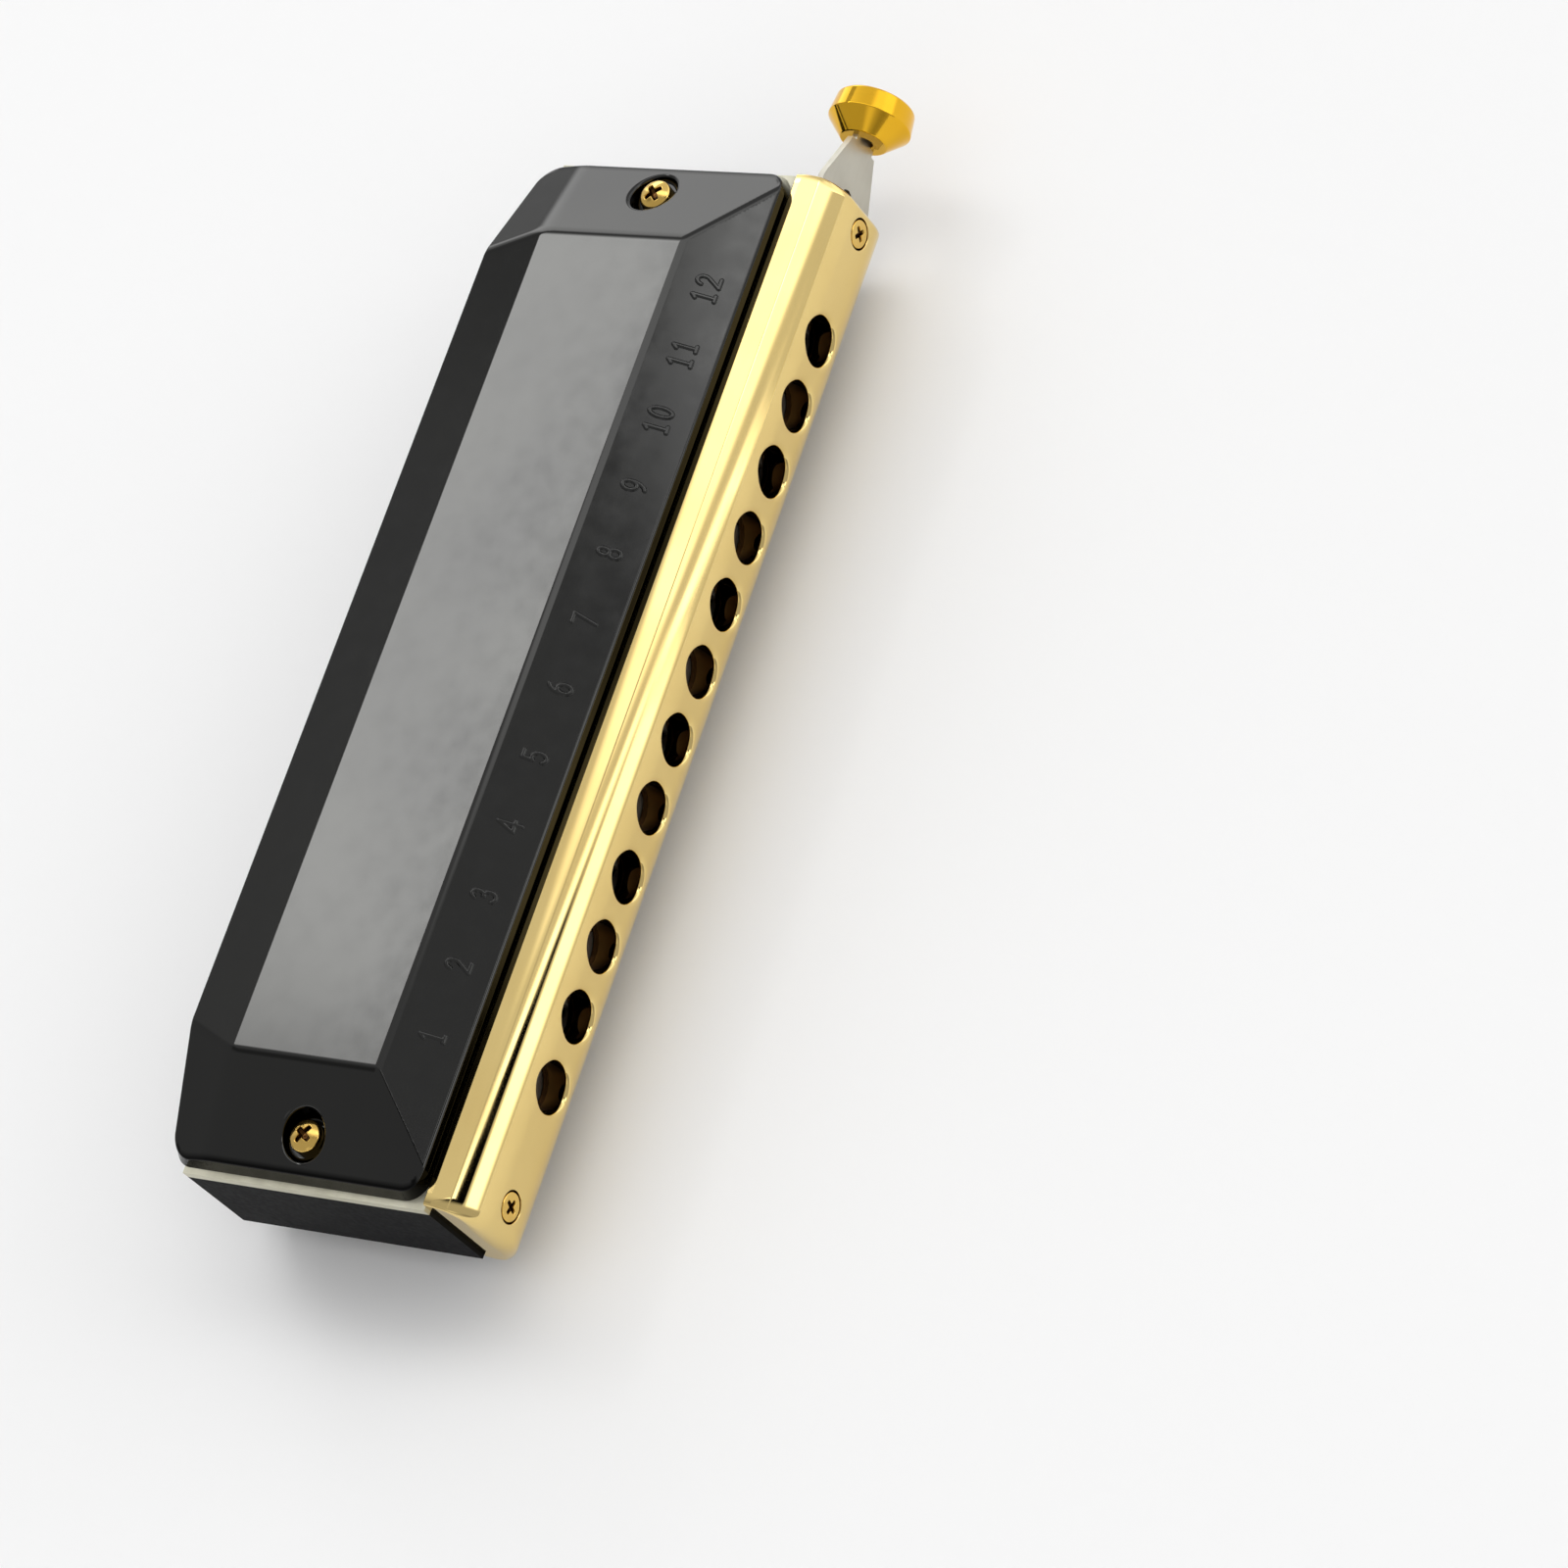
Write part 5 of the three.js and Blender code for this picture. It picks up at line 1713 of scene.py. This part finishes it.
@dataclass
class ReedValves:
    """Thin strips on the reed plates' outer faces, one over each inner reed's slot."""

    width: float = 2.9
    thickness: float = 0.12
    start: float = 5.6
    past: float = 1.1
    long_slot: float = 20.6
    short_slot: float = 10.6
    slot_front: float = 6.2
    slot_offset: float = 1.75
    lift: float = 0.3
    clear: float = 0.01
    end_round: float = 0.08
    end_width: float = 0.02
    rows: int = 15
    columns: int = 5

    def build(self, dresser: Dresser) -> None:
        """Makes both sets. A strip lies flat to its middle and lifts as the square beyond it.

        Args:
            dresser: Gives the finishes.
        """
        places = LAYOUT.hole_places()
        for low_notes, name in ((1, "upper"), (-1, "lower")):
            skin = Skin(f"reed_valves_{name}")
            for middle in places:
                share = (middle * low_notes - places[0]) / (places[-1] - places[0])
                end = self.slot_front + lerp(self.long_slot, self.short_slot, share) + self.past
                self._strip(skin, middle + self.slot_offset, end)
            if name == "lower":
                skin.turn_over()
            dresser.settle(skin, VALVE_FILM, Body.FIXED)

    def _strip(self, skin: Skin, x: float, end: float) -> None:
        """Adds one strip with a rounded free end as a closed thin slab.

        Args:
            skin: The set's surface.
            x: The strip's middle.
            end: The y of its free end.
        """
        t = np.linspace(0, 1, self.rows)
        y = self.start + (end - self.start) * t
        half = self.width / 2 * np.sqrt(np.clip((1 + self.end_width - t) / self.end_round, 0, 1))
        rise = LAYOUT.stack_half + self.clear + self.lift * np.clip(2 * t - 1, 0, 1) ** 2
        across = np.linspace(-1, 1, self.columns)
        flat = np.stack(
            np.broadcast_arrays(x + half[:, None] * across, y[:, None], rise[:, None] + 0 * across), axis=-1
        )
        top = flat + (0.0, 0.0, self.thickness)
        skin.sheet(top)
        skin.sheet(flat)
        skin.walls(top, flat)


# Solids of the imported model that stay


class KeptSolids:
    """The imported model's own solids that keep their shape and get their finishes."""

    finishes: dict[str, Finish] = {
        "comb": COMB_PLASTIC,
        "reed_plate_upper": REED_BRASS,
        "reed_plate_lower": REED_BRASS,
        "slide_channel": SHADED_CHANNEL_BRASS,
        "slide_back_plate": SHADED_CHANNEL_BRASS,
        "slide": SATIN_STEEL,
        "spring_pin": SPRING_STEEL,
    }
    screws_each_side: int = 6

    def dress(self, dresser: Dresser) -> None:
        """Gives each kept solid its finish.

        Args:
            dresser: Gives the finishes.
        """
        for node, finish in self.finishes.items():
            dresser.keep(node, finish)
        for side in ("upper", "lower"):
            for place in range(1, self.screws_each_side + 1):
                dresser.keep(f"plate_screw_{side}_{place}", REED_BRASS)


# Studio


@dataclass(frozen=True)
class Glow:
    """A soft-edged patch of brightness in the surroundings.

    Its share is a product of four smooth steps: up and down over x, and up and down over v. Each of
    the two v edges leans by its own slant in degrees for each 1 of x past the anchor.
    """

    level: float
    x: tuple[float, float, float, float]
    v: tuple[float, float, float, float]
    slant: tuple[float, float] = (0.0, 0.0)
    anchor: float = 0.345


@dataclass(frozen=True)
class Lamp:
    """A wide round lamp: its place and size in metres, and its power in watts."""

    name: str
    place: tuple[float, float, float]
    power: float
    size: float


@dataclass
class Studio:
    """The camera, the pale floor, soft lamps, and the surroundings that polished metal shows.

    The surroundings are a ladder of brightness over v, the angle in degrees about the x axis from
    straight up towards +y, with soft-edged patches mixed over it in order.
    """

    position: tuple[float, float, float] = (-254.25, -428.0, 574.64)
    image_right: tuple[float, float, float] = (0.31119, -0.84097, -0.44264)
    image_down: tuple[float, float, float] = (-0.88781, -0.09109, -0.45111)
    focal_pixels: float = 6335.86
    image_pixels: float = 1600.0
    sensor: float = 36.0
    clip: tuple[float, float] = (0.01, 20.0)
    floor_half: float = 3.0
    floor_lines: int = 41
    floor_dip: float = 0.02
    dip_start: float = 0.6
    sky_gain: float = 2.0
    lamps: tuple[Lamp, ...] = (
        Lamp("lamp_over", (0.1, -0.1, 1.6), 6.5, 2.6),
        Lamp("lamp_front", (-0.6, -1.5, 1.1), 3.0, 1.4),
        Lamp("lamp_rear", (0.8, 1.4, 1.2), 3.0, 1.4),
    )
    ladder: tuple[tuple[float, float], ...] = (
        (-180.0, 0.85), (-92.0, 0.85), (-84.0, 1.55), (-51.0, 1.55), (-46.0, 0.76), (36.0, 0.76),
        (43.0, 0.66), (52.0, 0.66), (62.0, 0.75), (110.0, 0.65), (180.0, 0.85),
    )
    glows: tuple[Glow, ...] = (
        # What the nose shows from its top to its front: a dull wall, the broad lit one, a pale curtain
        # in two runs, a second pale one past a thin upright, and a dark opening at the near end
        Glow(0.74, (0.05, 0.2, 0.5, 0.62), (-92.0, -88.0, -46.0, -40.0)),
        Glow(2.1, (0.255, 0.37, 0.5, 0.62), (-28.0, -14.0, 10.0, 28.0), (-390.0, 400.0)),
        Glow(2.7, (0.05, 0.2, 0.34, 0.352), (-52.0, -47.0, -42.0, -36.0), (-284.0, -284.0)),
        Glow(2.7, (0.336, 0.348, 0.378, 0.396), (-53.0, -48.0, -42.0, -35.0), (-980.0, -600.0)),
        Glow(2.4, (0.05, 0.2, 0.346, 0.362), (-88.0, -76.0, -55.0, -49.0)),
        Glow(0.7, (0.306, 0.312, 0.334, 0.342), (-54.0, -52.0, -50.0, -48.0), (-100.0, -100.0)),
        Glow(0.6, (0.332, 0.34, 0.358, 0.368), (-59.5, -57.5, -55.5, -53.5), (-950.0, -950.0)),
        Glow(0.0, (0.05, 0.2, 0.31, 0.32), (-49.5, -47.0, -58.5, -55.5), (-20.0, -400.0)),
        # Dim wall that the rear strip shows at the far end
        Glow(0.45, (0.36, 0.41, 0.6, 0.7), (43.0, 45.0, 58.0, 62.0)),
        # Dark side beyond the near end
        Glow(0.5, (-2.0, -1.5, 0.1, 0.22), (-300.0, -250.0, 250.0, 300.0)),
        # Dark gap beside the panel's softbox, which the near crease shows
        Glow(0.25, (-0.14, -0.02, 0.04, 0.16), (28.0, 33.0, 44.0, 50.0)),
        # What the button's cone shows: a lit upright, a dark one beside it, and a dark far side
        Glow(0.9, (-0.96, -0.84, -0.76, -0.64), (-48.0, -22.0, -18.0, 6.0)),
        Glow(0.32, (-0.96, -0.84, -0.72, -0.6), (-100.0, -72.0, -68.0, -42.0)),
        Glow(0.04, (-0.46, -0.4, 0.0, 0.08), (77.0, 83.0, 102.0, 110.0)),
        # Lit upright that the button's ring shows
        Glow(1.4, (0.5, 0.61, 0.66, 0.77), (-62.0, -46.0, -34.0, -14.0)),
        # Dark strip that the front slope shows, and the light that enters it at the far end
        Glow(0.6, (-0.2, 0.1, 0.44, 0.5), (-16.0, -15.2, -12.8, -12.1)),
        Glow(4.0, (0.355, 0.4, 0.5, 0.6), (-16.2, -15.6, -14.25, -13.9), (0.0, 12.0), 0.385),
        # Softbox over the panel, and the one over the far end
        Glow(7.2, (0.235, 0.3, 0.44, 0.56), (36.6, 37.0, 42.3, 43.2)),
        Glow(2.9, (0.58, 0.68, 0.88, 0.95), (44.0, 52.0, 76.0, 84.0)),
    )

    def camera(self) -> None:
        """Sets the camera where the photograph was taken from."""
        right, down = np.array(self.image_right), np.array(self.image_down)
        back = np.cross(right, -down)
        turn = Matrix(np.stack([right, -down, back], axis=1).tolist()).to_4x4()
        lens = bpy.data.cameras.new("studio_camera")
        lens.sensor_width = self.sensor
        lens.lens = self.focal_pixels / self.image_pixels * self.sensor
        lens.clip_start, lens.clip_end = self.clip
        camera = bpy.data.objects.new("studio_camera", lens)
        camera.matrix_world = Matrix.Translation(Vector(self.position) * MM) @ turn
        bpy.context.scene.collection.objects.link(camera)
        bpy.context.scene.camera = camera

    def floor(self) -> None:
        """Lays the pale floor as a grid that dips away gently at its far edges."""
        count = self.floor_lines
        side = np.linspace(-1, 1, count)
        x, y = np.meshgrid(side * self.floor_half, side * self.floor_half)
        z = -self.floor_dip * smooth_share(self.dip_start, 1.0, np.hypot(x, y) / self.floor_half)
        points = np.stack([x, y, z], axis=-1).reshape(-1, 3)
        index = np.arange(count * count).reshape(count, count)
        corners = [index[:-1, :-1], index[:-1, 1:], index[1:, 1:], index[1:, :-1]]
        faces = np.stack(corners, axis=-1).reshape(-1, 4)
        mesh = bpy.data.meshes.new("studio_floor")
        mesh.from_pydata(points, [], faces)
        ground = bpy.data.objects.new("studio_floor", mesh)
        bpy.context.scene.collection.objects.link(ground)
        mesh.materials.append(PALE_FLOOR.material())

    def surroundings(self) -> None:
        """Builds the world's brightness from the direction looked in."""
        world = bpy.data.worlds.new("studio_surroundings")
        bpy.context.scene.world = world
        world.use_nodes = True
        desk = NodeDesk(world.node_tree)
        axes = world.node_tree.nodes.new("ShaderNodeSeparateXYZ")
        desk.feed(axes, {"Vector": desk.add("TexCoord", "Generated", {})})
        turn = desk.sum("ARCTAN2", axes.outputs["Y"], axes.outputs["Z"])
        ramp = world.node_tree.nodes.new("ShaderNodeValToRGB")
        desk.feed(ramp, {"Fac": desk.spread(turn, -math.pi, math.pi, 0.0, 1.0)})
        degrees = desk.spread(turn, -math.pi, math.pi, -180.0, 180.0)
        stops = ramp.color_ramp.elements
        places = [(angle + 180.0) / 360.0 for angle, _ in self.ladder]
        inner = [stops.new(place) for place in places[1:-1]]
        for stop, place, (_, level) in zip((stops[0], *inner, stops[-1]), places, self.ladder):
            stop.position = place
            stop.color = self._grey(level)
        colour = ramp.outputs["Color"]
        for glow in self.glows:
            colour = self._lay(desk, glow, axes.outputs["X"], degrees, colour)
        desk.feed(world.node_tree.nodes["Background"], {"Strength": self.sky_gain, "Color": colour})

    def _grey(self, level: float) -> tuple[float, float, float, float]:
        """Gives a brightness as a colour, to which the sky's gain is still to come."""
        return (level / self.sky_gain,) * 3 + (1.0,)

    def _lay(self, desk: NodeDesk, glow: Glow, x: Socket, v: Socket, colour: Socket) -> Socket:
        """Mixes one patch over a colour.

        Args:
            desk: The surroundings' nodes.
            glow: The patch.
            x: The x of the direction looked in.
            v: Its angle about the x axis, in degrees.
            colour: What lies under the patch.

        Returns:
            The mixed colour's socket.
        """
        rising, falling = self._step(desk, x, *glow.x[:2]), self._step(desk, x, *glow.x[:1:-1])
        share = desk.sum("MULTIPLY", rising, falling)
        for (start, end), slant in zip((glow.v[:2], glow.v[:1:-1]), glow.slant):
            lean = desk.sum("MULTIPLY", desk.sum("SUBTRACT", x, glow.anchor), slant)
            edge = self._step(desk, desk.sum("SUBTRACT", v, lean), start, end)
            share = desk.sum("MULTIPLY", share, edge)
        return desk.mixed(share, colour, self._grey(glow.level))

    @staticmethod
    def _step(desk: NodeDesk, value: Socket, start: float, end: float) -> Socket:
        """Adds a smooth step from 0 at start to 1 at end, in either direction."""
        rises = (0.0, 1.0) if end > start else (1.0, 0.0)
        return desk.spread(value, min(start, end), max(start, end), *rises, interpolation_type="SMOOTHSTEP")

    def hang(self, lamp: Lamp) -> None:
        """Hangs one lamp facing the origin. It lights dull surfaces and shows in no reflection.

        Args:
            lamp: The lamp.
        """
        light = bpy.data.lights.new(lamp.name, "AREA")
        light.shape, light.size, light.energy = "DISK", lamp.size, lamp.power
        hung = bpy.data.objects.new(lamp.name, light)
        place = Vector(lamp.place)
        facing = (-place).to_track_quat("-Z", "Y").to_matrix().to_4x4()
        hung.matrix_world = Matrix.Translation(place) @ facing
        hung.visible_glossy = False
        bpy.context.scene.collection.objects.link(hung)

    def build(self) -> None:
        """Sets up the whole studio."""
        self.camera()
        self.floor()
        self.surroundings()
        for lamp in self.lamps:
            self.hang(lamp)
        bpy.context.scene.view_settings.view_transform = "Standard"
        bpy.context.scene.view_settings.look = "None"


def main() -> None:
    """Builds the part's pieces in order, dresses them, and sets up the studio."""
    logging.basicConfig(level=logging.INFO, format="%(name)s: %(message)s")
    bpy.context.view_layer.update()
    Studio().build()
    dresser = Dresser()
    KeptSolids().dress(dresser)
    covers = Covers()
    covers.build(dresser)
    CoverNumbers().build(dresser, covers.outer)
    Mouthpiece().build(dresser)
    SlideButton().build(dresser)
    SlideSpring().build(dresser)
    Fasteners().build(dresser)
    ReedValves().build(dresser)


if __name__ == "__main__":
    main()
